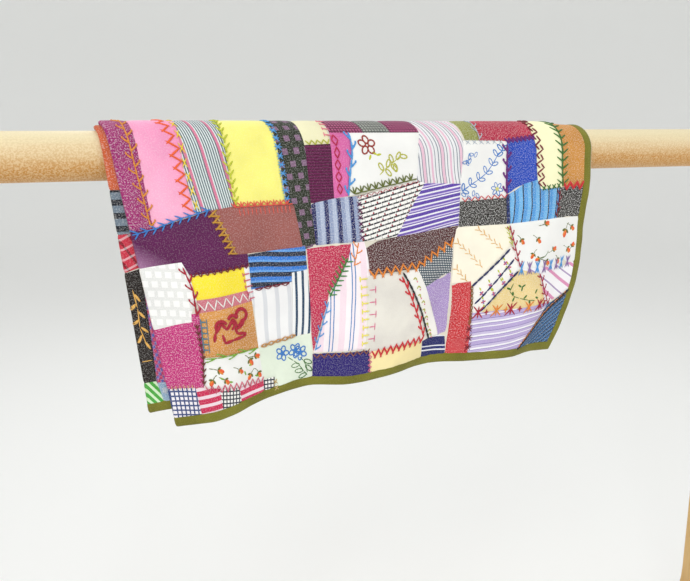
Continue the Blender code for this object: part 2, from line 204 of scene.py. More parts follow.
bowl_shader = Shader("studio_bowl", roughness=0.9)
bowl_shader.feed("Base Color", (0.90, 0.91, 0.905))
BOWL_RADIUS, BOWL_BEND, BOWL_RIM, BOWL_STEPS = 5.0, 1.6, 4.6, 10
bm = bmesh.new()
bends = [math.pi / 2 * step / BOWL_STEPS for step in range(BOWL_STEPS + 1)]
profile = [(0.0, 0.0)]
profile += [(BOWL_RADIUS + BOWL_BEND * math.sin(a), BOWL_BEND * (1 - math.cos(a))) for a in bends]
profile += [(BOWL_RADIUS + BOWL_BEND, BOWL_RIM)]
line = [bm.verts.new((x, 0, z)) for x, z in profile]
edges = [bm.edges.new(pair) for pair in zip(line, line[1:])]
bmesh.ops.spin(bm, geom=line + edges, cent=(0, 0, 0), axis=(0, 0, 1), angle=math.tau, steps=64,
               use_merge=True, use_duplicate=False)
bmesh.ops.remove_doubles(bm, verts=bm.verts, dist=1e-4)
bmesh.ops.recalc_face_normals(bm, faces=bm.faces)
bowl = add_bmesh("studio_bowl", bm, bowl_shader.material)
bowl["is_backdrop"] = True

world = bpy.data.worlds.new("studio")
world.use_nodes = True
sky = world.node_tree.nodes["Background"]
sky.inputs["Color"].default_value = (1.0, 0.99, 0.97, 1.0)
sky.inputs["Strength"].default_value = 0.80
bpy.context.scene.world = world


def light_panel(name, power, size, place, aim):
    light = bpy.data.objects.new(name, bpy.data.lights.new(name, "AREA"))
    light.data.energy = power
    light.data.size = size
    light.location = place
    light.rotation_euler = (Vector(aim) - Vector(place)).to_track_quat("-Z", "Y").to_euler()
    bpy.context.scene.collection.objects.link(light)


light_panel("key_panel", power=26, size=1.3, place=(-1.5, -1.7, 2.1), aim=(0, 0, 0.75))
light_panel("fill_panel", power=9, size=1.8, place=(1.9, -1.5, 1.5), aim=(0, 0, 0.7))
light_panel("back_panel", power=12, size=1.6, place=(0.4, 1.7, 2.2), aim=(0, 0, 0.8))
bpy.context.scene.view_settings.view_transform = "Standard"

# ---- Rack -----------------------------------------------------------------------------------
# The frame is sawn and its round rail turned from pale oiled wood, with darker pegs, wedges and
# buttons, bright screws and felt pads. The grain runs along each piece.


def wood(name, pale, dark, grain_axis, rings=26.0):
    """Oiled wood: growth rings as warped bands, and fine fibre along the grain."""
    shader = Shader(name, roughness=0.42)
    along = tuple(0.06 if axis == grain_axis else 1.0 for axis in "xyz")
    where = shader.stretched(shader.place(), along)
    warp = shader.noise(where, 9.0, 3.0)
    x, y, z = shader.parts(where)
    across = {"x": y + z * 0.6, "y": x + z * 0.6, "z": x + y * 0.6}[grain_axis]
    bands = ((across * rings * 6.0 + warp * 5.0).sine() * 0.5 + 0.5).power(1.6)
    fibre = shader.noise(shader.stretched(where, (14.0, 14.0, 14.0)), 26.0, 4.0)
    share = (bands * 0.45 + fibre * 0.55 + warp * 0.35 - 0.15).ramp(0.2, 0.95)
    shader.feed("Base Color", shader.mix(share, pale, dark))
    shader.feed("Roughness", fibre * 0.18 + 0.33)
    shader.bump(bands * 0.4 + fibre * 0.6, 0.25, 0.0006)
    return shader.material


def finish_nodes(material, *names):
    for name in names:
        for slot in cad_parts[name].material_slots:
            slot.material = material


# The rail's colour is painted lighter on top and a darker ochre underneath, as painted shade mixed into
# its grain, with a fleck all over.
RAIL_LIT_TOP, RAIL_SHADED_UNDERSIDE, RAIL_FLECK = (0.78, 0.68, 0.43), (0.55, 0.25, 0.04), (0.90, 0.78, 0.52)
rail_shader = Shader("rail_oiled_straw", roughness=0.48)
rail_place = rail_shader.place()
rail_z = rail_shader.parts(rail_place)[2]
long_grain = rail_shader.stretched(rail_place, (0.05, 1.0, 1.0))
grain = rail_shader.noise(long_grain, 160.0, 4.0)
figure = rail_shader.noise(rail_shader.stretched(rail_place, (0.12, 1.0, 1.0)), 30.0, 3.0)
flecks = rail_shader.noise(rail_place, 620.0, 2.0).ramp(0.42, 0.60)
# Painted shade: the colour darkens with height from the rail's lit top to its shaded underside.
depth = (RAIL_HEIGHT + 0.019 - rail_z).ramp(0.0, 0.034)
grain_and_shade = (depth * 1.1 + grain * 0.45 + figure * 0.35 - 0.38).ramp(0.0, 1.0)
rail_grain_and_shade = rail_shader.mix(grain_and_shade, RAIL_LIT_TOP, RAIL_SHADED_UNDERSIDE)
rail_shader.feed("Base Color", rail_shader.mix(flecks * 0.38, rail_grain_and_shade, RAIL_FLECK))
rail_shader.feed("Roughness", grain * 0.2 + 0.38)
rail_shader.bump(grain * 0.7 + figure * 0.3, 0.22, 0.0005)
finish_nodes(rail_shader.material, "top_rail")

OAK, WALNUT = ((0.70, 0.47, 0.20), (0.47, 0.25, 0.07)), ((0.30, 0.15, 0.06), (0.16, 0.07, 0.025))
upright_wood = wood("frame_oak_upright", *OAK, "z")
foot_wood = wood("frame_oak_foot", *OAK, "y")
tie_wood = wood("frame_oak_tie", *OAK, "x")
peg_wood = wood("peg_walnut", *WALNUT, "z", rings=60.0)
finish_nodes(tie_wood, "stretcher")
steel = Shader("screw_bright_steel", roughness=0.32, metallic=1.0)
scuffs = steel.noise(steel.stretched(steel.place(), (40.0, 400.0, 400.0)), 3.0, 3.0)
steel.feed("Base Color", steel.mix(scuffs, (0.50, 0.50, 0.52), (0.66, 0.66, 0.67)))
steel.feed("Roughness", scuffs * 0.2 + 0.25)
felt = Shader("pad_pressed_felt", roughness=0.97, sheen=0.3)
fluff = felt.noise(felt.place(), 1400.0, 4.0)
felt.feed("Base Color", felt.mix(fluff, (0.13, 0.10, 0.07), (0.24, 0.19, 0.14)))
felt.bump(fluff, 0.5, 0.0005)
for side in ("left", "right"):
    finish_nodes(upright_wood, f"{side}_post")
    finish_nodes(foot_wood, f"{side}_foot")
    finish_nodes(peg_wood, f"{side}_wedge", f"{side}_screw_button")
    finish_nodes(steel.material, f"{side}_rail_screw")
    for end in ("front", "back"):
        finish_nodes(peg_wood, f"{side}_{end}_peg")
        finish_nodes(felt.material, f"{side}_{end}_pad")

# ---- How the cloth lies ---------------------------------------------------------------------
# The quilt is one sheet, folded in half along its length and then across, and laid over the
# rail. On the flat sheet a point is (a, w): a is across from the lengthwise fold, above 0 on
# the outer leaves, and w runs from the front hem through the ridge, at 0, down the back.
RAIL_RADIUS = 0.024
QUILT_WIDTH = 0.550
FOLD_X = -0.349
LEFT_SLANT = 0.167
QUARTER_BEND = 0.0490  # cloth from the ridge to where it leaves the rail
BEND_RADIUS = QUARTER_BEND * 2 / math.pi
BACK_DROP = 0.297
LEAF_SPACING = 0.0017
LEAF_THICKNESS = 0.0012
FACE = LEAF_THICKNESS / 2
UNDER_MIDDLE = 0.0027  # how far over the rail the under half's middle lies
UPPER_MIDDLE = 0.0072
HALF_MIDDLE = (UNDER_MIDDLE + UPPER_MIDDLE) / 2
HALF_GAP = (UPPER_MIDDLE - UNDER_MIDDLE) / 2
BACK_TURN = math.pi * HALF_GAP


def ease(t):
    t = np.clip(t, 0.0, 1.0)
    return t * t * (3 - 2 * t)


def upper_hem(u):
    """Cloth from the ridge to the front hem of the upper half, which hangs lower at the fold."""
    return 0.289 + 0.008 * (1 - ease((u - 0.20) / 0.20)) + 0.024 * (1 - ease(u / 0.20))


def under_hem(u):
    return 0.305 - 0.080 * u


WAVE, WAVE_LENGTH = 0.0088, 0.200
SMALL_WAVE, SMALL_WAVE_LENGTH = 0.0016, 0.083
STAND_OUT = 0.0085
BACK_SHARE = 0.62  # the back's waves are this share of the front's
RIPPLE, SMALL_RIPPLE = 0.0007, 0.0004


def folds(u, v):
    """How far the hanging cloth stands out in its soft waves, and the small ripples on it."""
    front = np.where(v > 0, 1.0, BACK_SHARE)
    below = np.maximum(np.abs(v) - QUARTER_BEND, 0.0)
    drift = u + 0.10 * below
    wave = WAVE * np.cos(math.tau * (drift - 0.079) / WAVE_LENGTH)
    wave += SMALL_WAVE * np.cos(math.tau * (drift - 0.02) / SMALL_WAVE_LENGTH + 1.3)
    sides = ease(u / 0.05) * ease((QUILT_WIDTH - u) / 0.05)
    full = ease(below / 0.15) * (STAND_OUT + wave * (0.45 + 0.55 * sides))
    ripple = RIPPLE * np.sin(u * 74.0 + v * 31.0) * np.sin(v * 57.0 - u * 22.0 + 0.7)
    ripple += SMALL_RIPPLE * np.sin(u * 171.0 - v * 96.0 + 2.0) * np.cos(v * 140.0 + u * 48.0)
    return full * front + ripple * ease(below / 0.05)


RIGHT_CURL = 0.044  # how far the right side's lower corner is drawn in
UNDER_INSET, UNDER_SLANT = (0.0045, 0.012), 0.060  # the under half's left and right, and its slant
BULGES = (0.011, 0.007)  # of the right side, over the front and over the rail


def lie(u, v, lift, under):
    """Places in the room. under is 1 on the lower half of the crosswise fold, 0 on the upper."""
    below = np.abs(v)
    front = np.maximum(v, 0.0)
    curl = np.clip((front - 0.150) / 0.141, 0.0, 1.1)
    left = FOLD_X + LEFT_SLANT * below
    pull = 0.011 * (1 - ease(below / QUARTER_BEND))
    right = FOLD_X + QUILT_WIDTH - pull - RIGHT_CURL * curl**2 - 0.08 * np.maximum(-v, 0.0)
    under_left = left - under * (UNDER_INSET[0] + UNDER_SLANT * front)
    under_right = right - under * (UNDER_INSET[1] + UNDER_SLANT * front)
    x = under_left + (under_right - under_left) * u / QUILT_WIDTH
    over = (x - left) / (right - left) * QUILT_WIDTH  # the u of the upper half at the same x
    bulge = BULGES[0] * (1 - ease((front - 0.080) / 0.065))
    bulge = bulge + BULGES[1] * (1 - ease(below / QUARTER_BEND))
    x = x + bulge * ease((u - 0.48) / 0.07) * (1 - under)
    settle = 0.0040 * ease((u - 0.500) / 0.035) * (1 - ease((below - 0.05) / 0.1))
    radius = RAIL_RADIUS + lift - settle * (1 - under)
    angle = np.clip(v, -QUARTER_BEND, QUARTER_BEND) / BEND_RADIUS
    drop = np.maximum(below - QUARTER_BEND, 0.0)
    y = -radius * np.sin(angle) - np.sign(v) * folds(over, v)
    z = radius * np.cos(angle) - drop
    return np.stack([x, y, z + RAIL_HEIGHT], -1)


def folded(a, w, height):
    """Places in the room of points of the flat sheet, at a height over its pieced side's middle."""
    a, w, height = np.broadcast_arrays(*(np.asarray(n, float) for n in (a, w, height)))
    bend = LEAF_SPACING / 2
    turn = np.clip(a / bend, -math.pi / 2, math.pi / 2)
    out = (bend + height) * np.sin(turn)
    u = bend - (bend + height) * np.cos(turn) + np.maximum(np.abs(a) - bend * math.pi / 2, 0)
    crossed = np.clip((-BACK_DROP - w) / BACK_TURN, 0, 1)
    v = np.where(crossed < 1, np.maximum(w, -BACK_DROP), -2 * BACK_DROP - BACK_TURN - w)
    v = v - np.sin(crossed * math.pi) * (HALF_GAP + out)
    level = HALF_MIDDLE + np.cos(crossed * math.pi) * (HALF_GAP + out)
    return lie(u, v, level, crossed)


def under_run(v):
    """Where on the sheet the under half lies at a length v from the ridge."""
    return -2 * BACK_DROP - BACK_TURN - v


# ---- Foundation and wadding ------------------------------------------------------------------
# The sheet under the patches: a muslin foundation and a thin wadding, 1.10 x 1.20 m when flat.
# It goes over the rail in four leaves, with the fold at the left and the other behind.
LEAF_COLUMNS, SHEET_ROWS = 56, 260
TURN_ROWS = (0.46, 0.54)  # the share of the rows where the crosswise fold starts and ends


def dye(red, green, blue):
    """A colour from its 0 to 255 values, made linear."""
    return tuple(c / 12.92 if c <= 0.04045 else ((c + 0.055) / 1.055) ** 2.4
                 for c in (red / 255, green / 255, blue / 255))


def cloth_map(shader):
    return shader.node("ShaderNodeUVMap", {"uv_map": "cloth"}, {})


def speckled(shader, where, colour, flecks, mottle, scale=720.0, fleck_colour=(0.93, 0.92, 0.9)):
    """Dyed cloth, uneven over a hand's width, whose bare thread shows through as pale flecks."""
    broad = shader.noise(where, 24.0, 4.0).ramp(0.35, 0.68)
    deep = shader.node("ShaderNodeMix", {"data_type": "RGBA", "blend_type": "MULTIPLY"},
                       {0: broad * mottle, 6: colour, 7: (0.62, 0.60, 0.64)}, 2)
    spots = shader.noise(where, scale, 2.0, 0.65).ramp(0.51, 0.60)
    return shader.mix(spots * flecks, deep, fleck_colour)


def woven(shader, where, depth=0.0004, strength=0.4, threads=1100.0, relief=None):
    x, y, _ = shader.parts(where)
    crossing = (x * (threads * math.tau)).sine() * (y * (threads * math.tau)).sine()
    slubs = shader.noise(where, 380.0, 3.0)
    height = crossing * 0.25 + slubs
    shader.bump(height if relief is None else height + relief, strength, depth)


def closer_at_fold(share, reach):
    """Places across the sheet, from -1 to 1, set close together where it is folded, at 0."""
    return np.sign(share) * reach * (0.05 * np.abs(share) + 0.95 * share**2)


def closer_at_turn(share, first, last):
    """Places down the sheet, from 0 to 1, set close together round the crosswise fold."""
    start, end = -BACK_DROP + 0.002, -BACK_DROP - BACK_TURN - 0.002
    before, after = TURN_ROWS
    over = first + (start - first) * share / before
    under = end + (last - end) * (share - after) / (1 - after)
    turn = start + (end - start) * (share - before) / (after - before)
    return np.where(share < before, over, np.where(share > after, under, turn))


muslin = Shader("foundation_muslin", roughness=0.93, sheen=0.1, shine=0.2)
muslin_map = cloth_map(muslin)
muslin.feed("Base Color", speckled(muslin, muslin_map, dye(226, 220, 204), 0.15, 0.4))
woven(muslin, muslin_map)

bm = bmesh.new()
bmesh.ops.create_grid(bm, x_segments=2 * LEAF_COLUMNS, y_segments=SHEET_ROWS, size=1.0)
uv = bm.loops.layers.uv.new("cloth")
grid = np.array([v.co for v in bm.verts])
across = closer_at_fold(grid[:, 0], QUILT_WIDTH)
first = upper_hem(np.abs(across)) - 0.002
last = under_run(under_hem(np.abs(across)) - 0.002)
run = closer_at_turn(0.5 - grid[:, 1] / 2, first, last)
for vert, place in zip(bm.verts, folded(across, run, 0.0)):
    vert.co = place
for face in bm.faces:
    for loop in face.loops:
        loop[uv].uv = (across[loop.vert.index], run[loop.vert.index])
leaves = add_bmesh("quilt_foundation", bm, muslin.material)
wadding = leaves.modifiers.new("wadding", "SOLIDIFY")
wadding.thickness = LEAF_THICKNESS
wadding.offset = 0.0
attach(leaves, "quilt")
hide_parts("quilt_upper_half", "quilt_under_half")

# ---- Binding --------------------------------------------------------------------------------
# A strip of olive wool twill is folded over the sheet's raw edge all the way round and stitched
# down on both faces. It is mitred at the corners, and fuller on the face than behind.
BINDING_WIDTH = 0.0105
BINDING_STEPS = 150
BINDING_SECTION = [  # inward from the edge, height over the leaf's middle
    (BINDING_WIDTH, FACE + 0.0001), (0.0102, FACE + 0.0007), (0.0092, FACE + 0.0012),
    (0.0060, FACE + 0.0014), (0.0028, FACE + 0.0013), (0.0008, FACE + 0.0006),
    (0.0, FACE * 0.2), (0.0006, -FACE - 0.0001), (0.0025, -FACE - 0.0002), (0.0100, -FACE - 0.0002),
]
olive = Shader("binding_olive_twill", roughness=0.86, sheen=0.1, shine=0.2)
olive_place = cloth_map(olive)
olive_x, olive_y, _ = olive.parts(olive_place)
olive_colour = speckled(olive, olive_place, dye(128, 126, 44), 0.16, 0.7, 800.0, dye(190, 186, 110))
olive.feed("Base Color", olive_colour)
twill = ((olive_x + olive_y) * (620.0 * math.tau)).sine() * 0.4
woven(olive, olive_place, 0.0006, 0.5, 800.0, twill)

section = np.array(BINDING_SECTION)
bm = bmesh.new()
uv = bm.loops.layers.uv.new("cloth")
rows = len(section) - 1
for name in ("front_hem", "under_hem", "outer_side", "inner_side"):
    steps = BINDING_STEPS if name.endswith("hem") else SHEET_ROWS
    made = bmesh.ops.create_grid(bm, x_segments=steps, y_segments=rows, size=1.0)["verts"]
    grid = np.array([v.co for v in made])
    inset, height = section[np.rint((grid[:, 1] + 1) / 2 * rows).astype(int)].T
    reach = QUILT_WIDTH - inset
    if name.endswith("hem"):
        a = closer_at_fold(grid[:, 0], reach)
        front, under = upper_hem(np.abs(a)) - inset, under_run(under_hem(np.abs(a)) - inset)
        w = front if name == "front_hem" else under
    else:
        a = reach * (1 if name == "outer_side" else -1)
        first = upper_hem(reach) - inset
        last = under_run(under_hem(reach) - inset)
        w = closer_at_turn((grid[:, 0] + 1) / 2, first, last)
    for vert, place in zip(made, folded(a, w, height)):
        vert.co = place
    places = dict(zip(made, zip(a, w + height)))
    for face in {f for v in made for f in v.link_faces}:
        for loop in face.loops:
            loop[uv].uv = places[loop.vert]
bmesh.ops.remove_doubles(bm, verts=bm.verts, dist=1e-5)
bmesh.ops.recalc_face_normals(bm, faces=bm.faces)
binding = add_bmesh("olive_binding", bm, olive.material)
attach(binding, "quilt")
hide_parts("upper_hem_binding", "under_hem_binding", "upper_side_binding",
            "under_side_binding")

# ---- Fabrics --------------------------------------------------------------------------------
# The patches are cut from sixty silks, wools and printed cottons. Each is listed with its
# dyes and its pattern, whose sizes are in millimetres and which follows the patch's own grain.
# Two silks also have a painted sheen.
WHITE = (246, 245, 240)


def painted_sheen(first, second, across, down, start):
    """Silk with a painted sheen: its dye turns to a lighter painted colour along a direction in the
    patch.
    """
    def pattern(s, x, y):
        share = (x * across + y * down).ramp(start, start + 0.03)
        return s.mix(share, dye(*first), dye(*second))
    return pattern


def blocks(shader, where, period, bands):
    """Bands of colour that repeat along one direction. A band is its start, 0 to 1, and a dye."""
    stops = [(start, dye(*colour)) for start, colour in bands]
    cycle = (where * (1000.0 / period)).fraction()
    made = shader.node("ShaderNodeValToRGB", {"stops": stops}, {0: cycle})
    made.socket.node.color_ramp.interpolation = "CONSTANT"
    return made


def stripes(period, *bands, turn=0, sway=0.0):
    """Stripes along the grain, or turned by an angle in degrees."""
    cos, sin = math.cos(math.radians(turn)), math.sin(math.radians(turn))

    def pattern(s, x, y):
        across = x * cos + y * sin
        if sway:
            across = across + ((y * cos - x * sin) * 95.0).sine() * sway
        return blocks(s, across, period, bands)

    return pattern


def crossed(warp, weft, share=0.5):
    """A check or plaid: two sets of stripes, one over the other."""
    return lambda s, x, y: s.mix(share, warp(s, x, y), weft(s, x, y))


def woven_check(period, line, dark, pale=WHITE):
    """Dark lines both ways on a pale ground."""
    def pattern(s, x, y):
        lines = (x * (1000.0 / period)).fraction().most((y * (1000.0 / period)).fraction())
        return s.mix(lines.over(1 - line), dye(*pale), dye(*dark))
    return pattern


def spots(ground, colour, spacing, size):
    """Square spots in offset rows."""
    def pattern(s, x, y):
        row = (y * (1000.0 / spacing)).whole()
        side = ((x * (1000.0 / spacing) + row * 0.5).fraction() - 0.5).absolute()
        height = ((y * (1000.0 / spacing)).fraction() - 0.5).absolute()
        inside = 1 - side.most(height).over(size / spacing / 2)
        return s.mix(inside, dye(*ground), dye(*colour))
    return pattern


def bricks(spacing):
    """Rows of dark dashes, offset like bricks, with a red dot between some of them."""
    def pattern(s, x, y):
        rise = y * (1000.0 / spacing)
        row = rise.whole()
        across = x * (1000.0 / (spacing * 1.9)) + row * 0.5
        line = (1 - rise.fraction().over(0.34)) * (1 - across.fraction().over(0.93))
        upright = (1 - across.fraction().over(0.06)) * rise.fraction().over(0.25)
        dot = (across * 0.5).fraction().over(0.91) * rise.fraction().over(0.62)
        colour = s.mix(line.most(upright * 0.7), dye(*WHITE), dye(54, 54, 60))
        return s.mix(dot, colour, dye(178, 70, 80))
    return pattern


FABRICS = {  # dye or pattern, flecks, mottle, roughness, sheen
    "plum_wool": ((160, 42, 112), 0.34, 0.5, 0.9, 0.3),
    # pink satin with a painted sheen, lighter towards the patch's lower left
    "pink_satin": (painted_sheen((244, 138, 188), (252, 178, 210), -0.3, 0.25, -0.018), 0.16, 0.35, 0.5, 0.3),
    "grey_pink_stripe": (stripes(17.5, (0.0, (214, 122, 152)),
        *[(0.16 + 0.14 * n + (0.07 if dark else 0), (92, 110, 118) if dark else (222, 230, 230))
          for n in range(6) for dark in (False, True)], turn=-7), 0.10, 0.2, 0.8, 0.2),
    "lemon_silk": ((250, 244, 128), 0.10, 0.35, 0.55, 0.3),
    "mauve_spot": (spots((42, 48, 34), (132, 100, 128), 12.5, 6.0), 0.16, 0.4, 0.85, 0.2),
    "cream_cotton": ((240, 236, 196), 0.10, 0.3, 0.9, 0.1),
    "ribbed_plum": (stripes(3.0, (0.0, (80, 8, 56)), (0.55, (108, 22, 80)), turn=90),
        0.05, 0.4, 0.6, 0.1),
    "orchid_silk": ((226, 104, 172), 0.15, 0.5, 0.55, 0.3),
    "magenta_check": (woven_check(3.4, 0.34, (96, 20, 60), (176, 84, 128)), 0.08, 0.3, 0.8, 0.2),
    "grey_check": (woven_check(3.4, 0.34, (76, 80, 78), (164, 168, 160)), 0.08, 0.3, 0.8, 0.2),
    "white_lawn": ((243, 243, 240), 0.0, 0.18, 0.9, 0.1),
    "rose_ticking": (stripes(24, (0.0, (236, 236, 238)), (0.08, (128, 136, 150)),
        (0.13, (238, 238, 240)), (0.22, (128, 136, 150)), (0.26, (236, 196, 214)),
        (0.40, (150, 154, 166)), (0.44, (238, 238, 240)), (0.55, (128, 136, 150)),
        (0.59, (240, 238, 240)), (0.70, (232, 186, 208)), (0.80, (238, 238, 240)),
        (0.90, (128, 136, 150)), (0.94, (240, 240, 242)), turn=-8, sway=0.0011), 0.08, 0.2, 0.8, 0.2),
    "brick_print": (bricks(4.6), 0.0, 0.1, 0.9, 0.1),
    "violet_stripe": (stripes(11.5, (0.0, (92, 62, 168)), (0.30, (240, 238, 246)),
        (0.46, (112, 84, 182)), (0.66, (214, 204, 236)), (0.78, (98, 66, 172)), (0.88, (246, 245, 250)),
        turn=90), 0.10, 0.3, 0.75, 0.2),
    "navy_ticking": (stripes(14.0, (0.0, (18, 26, 92)), (0.30, (142, 156, 190)),
        (0.62, (176, 188, 212)), (0.92, (120, 136, 176))), 0.34, 0.3, 0.85, 0.2),
    "olive_wool": ((152, 156, 74), 0.30, 0.5, 0.9, 0.2),
    "crimson_wool": ((188, 26, 66), 0.30, 0.5, 0.85, 0.3),
    "royal_wool": ((24, 70, 186), 0.26, 0.4, 0.85, 0.1),
    "primrose": ((252, 250, 206), 0.0, 0.2, 0.9, 0.1),
    "ochre_wool": ((208, 144, 62), 0.26, 0.5, 0.9, 0.2),
    "sky_stripe": (stripes(11.5, (0.0, (22, 30, 46)), (0.13, (74, 154, 222)), (0.55, (110, 182, 234)),
        turn=9, sway=0.0011), 0.26, 0.35, 0.75, 0.3),
    "dark_blue_wool": ((30, 50, 120), 0.36, 0.4, 0.85, 0.2),
    "charcoal_tweed": ((44, 42, 40), 0.52, 0.3, 0.95, 0.2),
    "cream_lawn": ((254, 248, 228), 0.0, 0.25, 0.9, 0.1),
    "tan_print": ((242, 216, 150), 0.30, 0.4, 0.9, 0.1),
    "pink_ticking": (stripes(22.0, (0.0, (248, 246, 249)), (0.30, (224, 150, 188)),
        (0.46, (248, 246, 249)), (0.80, (176, 156, 194)), (0.88, (248, 246, 249)), turn=-62),
        0.0, 0.15, 0.8, 0.2),
    "lavender_stripe": (stripes(15.0, (0.0, (186, 168, 216)), (0.30, (130, 118, 178)),
        (0.35, (206, 194, 228)), (0.55, (248, 247, 250)), (0.68, (140, 128, 186)),
        (0.73, (192, 176, 220)), (0.92, (246, 245, 250)), turn=84, sway=0.0006), 0.14, 0.3, 0.75, 0.2),
    "denim": (stripes(5.4, (0.0, (14, 34, 66)), (0.34, (38, 92, 146)), (0.8, (84, 138, 184)), turn=52),
        0.26, 0.5, 0.9, 0.2),
    "scarlet_wool": ((206, 44, 52), 0.30, 0.5, 0.85, 0.3),
    "navy_band": (stripes(16.0, (0.0, (26, 32, 100)), (0.42, (236, 238, 246)), (0.50, (30, 38, 108)),
        (0.70, (236, 238, 246)), (0.80, (26, 32, 100)), turn=88), 0.10, 0.3, 0.75, 0.2),
    "slate_check": (woven_check(2.7, 0.50, (58, 74, 88), (232, 234, 232)), 0.06, 0.2, 0.85, 0.2),
    "lilac_wool": ((172, 146, 204), 0.44, 0.4, 0.85, 0.3),
    "sprig_lawn": ((248, 246, 240), 0.0, 0.15, 0.9, 0.1),
    "brown_tweed": ((84, 40, 42), 0.40, 0.5, 0.95, 0.2),
    "oatmeal": ((236, 232, 222), 0.12, 0.4, 0.95, 0.1),
    "custard": ((250, 234, 176), 0.0, 0.35, 0.9, 0.1),
    "indigo_wool": ((38, 22, 112), 0.16, 0.4, 0.85, 0.3),
    "rose_line": (stripes(23.0, (0.0, (70, 130, 190)), (0.05, (250, 236, 242)), (0.16, (70, 130, 190)),
        (0.21, (250, 240, 244)), (0.45, (248, 226, 236)), (0.75, (252, 244, 247)), turn=2),
        0.22, 0.2, 0.85, 0.1),
    "rose_wool": ((196, 34, 78), 0.34, 0.4, 0.85, 0.3),
    "blue_black_stripe": (stripes(10.6, (0.0, (44, 122, 214)), (0.34, (96, 158, 226)),
        (0.54, (22, 34, 60)), turn=93, sway=0.0005), 0.20, 0.3, 0.75, 0.3),
    "navy_pinstripe": (stripes(8.0, (0.0, (34, 66, 96)), (0.36, (242, 244, 244)), turn=3),
        0.10, 0.2, 0.8, 0.2),
    "grey_line": (stripes(15.0, (0.0, (222, 224, 228)), (0.32, (245, 245, 245)), sway=0.0008),
        0.0, 0.2, 0.9, 0.1),
    "celadon": ((230, 240, 222), 0.0, 0.3, 0.9, 0.1),
    "amber_wool": ((216, 150, 70), 0.34, 0.5, 0.9, 0.2),
    "bright_yellow": ((255, 234, 44), 0.16, 0.25, 0.7, 0.3),
    "dusty_pink": ((212, 122, 134), 0.20, 0.4, 0.85, 0.2),
    # aubergine silk with a painted sheen, lighter towards the patch's lower left
    "aubergine_silk": (painted_sheen((92, 14, 78), (186, 134, 178), -0.55, 0.9, 0.026), 0.07, 0.5, 0.6, 0.1),
    "brown_rose": ((160, 94, 88), 0.14, 0.5, 0.8, 0.1),
    "soft_chequer": (spots((231, 232, 229), (251, 251, 249), 9.6, 6.2), 0.5, 0.2, 0.9, 0.1),
    "fuchsia_wool": ((196, 40, 122), 0.36, 0.4, 0.85, 0.3),
    "blue_plaid": (woven_check(5.0, 0.33, (44, 64, 122), (240, 236, 242)), 0.16, 0.2, 0.85, 0.2),
    "crimson_bar": (stripes(9.0, (0.0, (206, 34, 84)), (0.62, (244, 222, 230)), turn=80),
        0.16, 0.3, 0.8, 0.2),
    "black_plaid": (woven_check(4.3, 0.34, (44, 50, 64)), 0.10, 0.2, 0.85, 0.2),
    "terracotta": ((206, 98, 56), 0.24, 0.5, 0.9, 0.2),
    "slate_stripe": (stripes(12.5, (0.0, (34, 38, 46)), (0.45, (112, 128, 142)), turn=90),
        0.22, 0.3, 0.85, 0.2),
    "red_plaid": (crossed(stripes(9.0, (0.0, (196, 34, 58)), (0.78, (248, 226, 230)), turn=66),
        stripes(11.0, (0.0, (20, 18, 26)), (0.20, (206, 60, 80)), turn=-30), 0.55),
        0.10, 0.3, 0.85, 0.2),
    "black_wool": ((34, 27, 24), 0.16, 0.3, 0.95, 0.2),
    "red_blue_mix": (crossed(stripes(6.0, (0.0, (190, 44, 80)), (0.55, (70, 110, 190)), turn=35),
        stripes(5.0, (0.0, (200, 50, 90)), (0.5, (96, 80, 150)), turn=-50)), 0.24, 0.3, 0.85, 0.2),
    "green_stripe": (stripes(6.6, (0.0, (72, 168, 62)), (0.55, (214, 240, 200)), turn=-42),
        0.08, 0.2, 0.8, 0.2),
    "blue_grey": ((142, 170, 196), 0.34, 0.4, 0.9, 0.2),
}


def fabric(name):
    pattern, flecks, mottle, roughness, sheen = FABRICS[name]
    shader = Shader("cloth_" + name, roughness=roughness, sheen=sheen * 0.3, shine=0.25)
    where = cloth_map(shader)
    x, y, _ = shader.parts(where)
    colour = pattern(shader, x, y) if callable(pattern) else dye(*pattern)
    shader.feed("Base Color", speckled(shader, where, colour, flecks, mottle))
    woven(shader, where)
    return shader.material


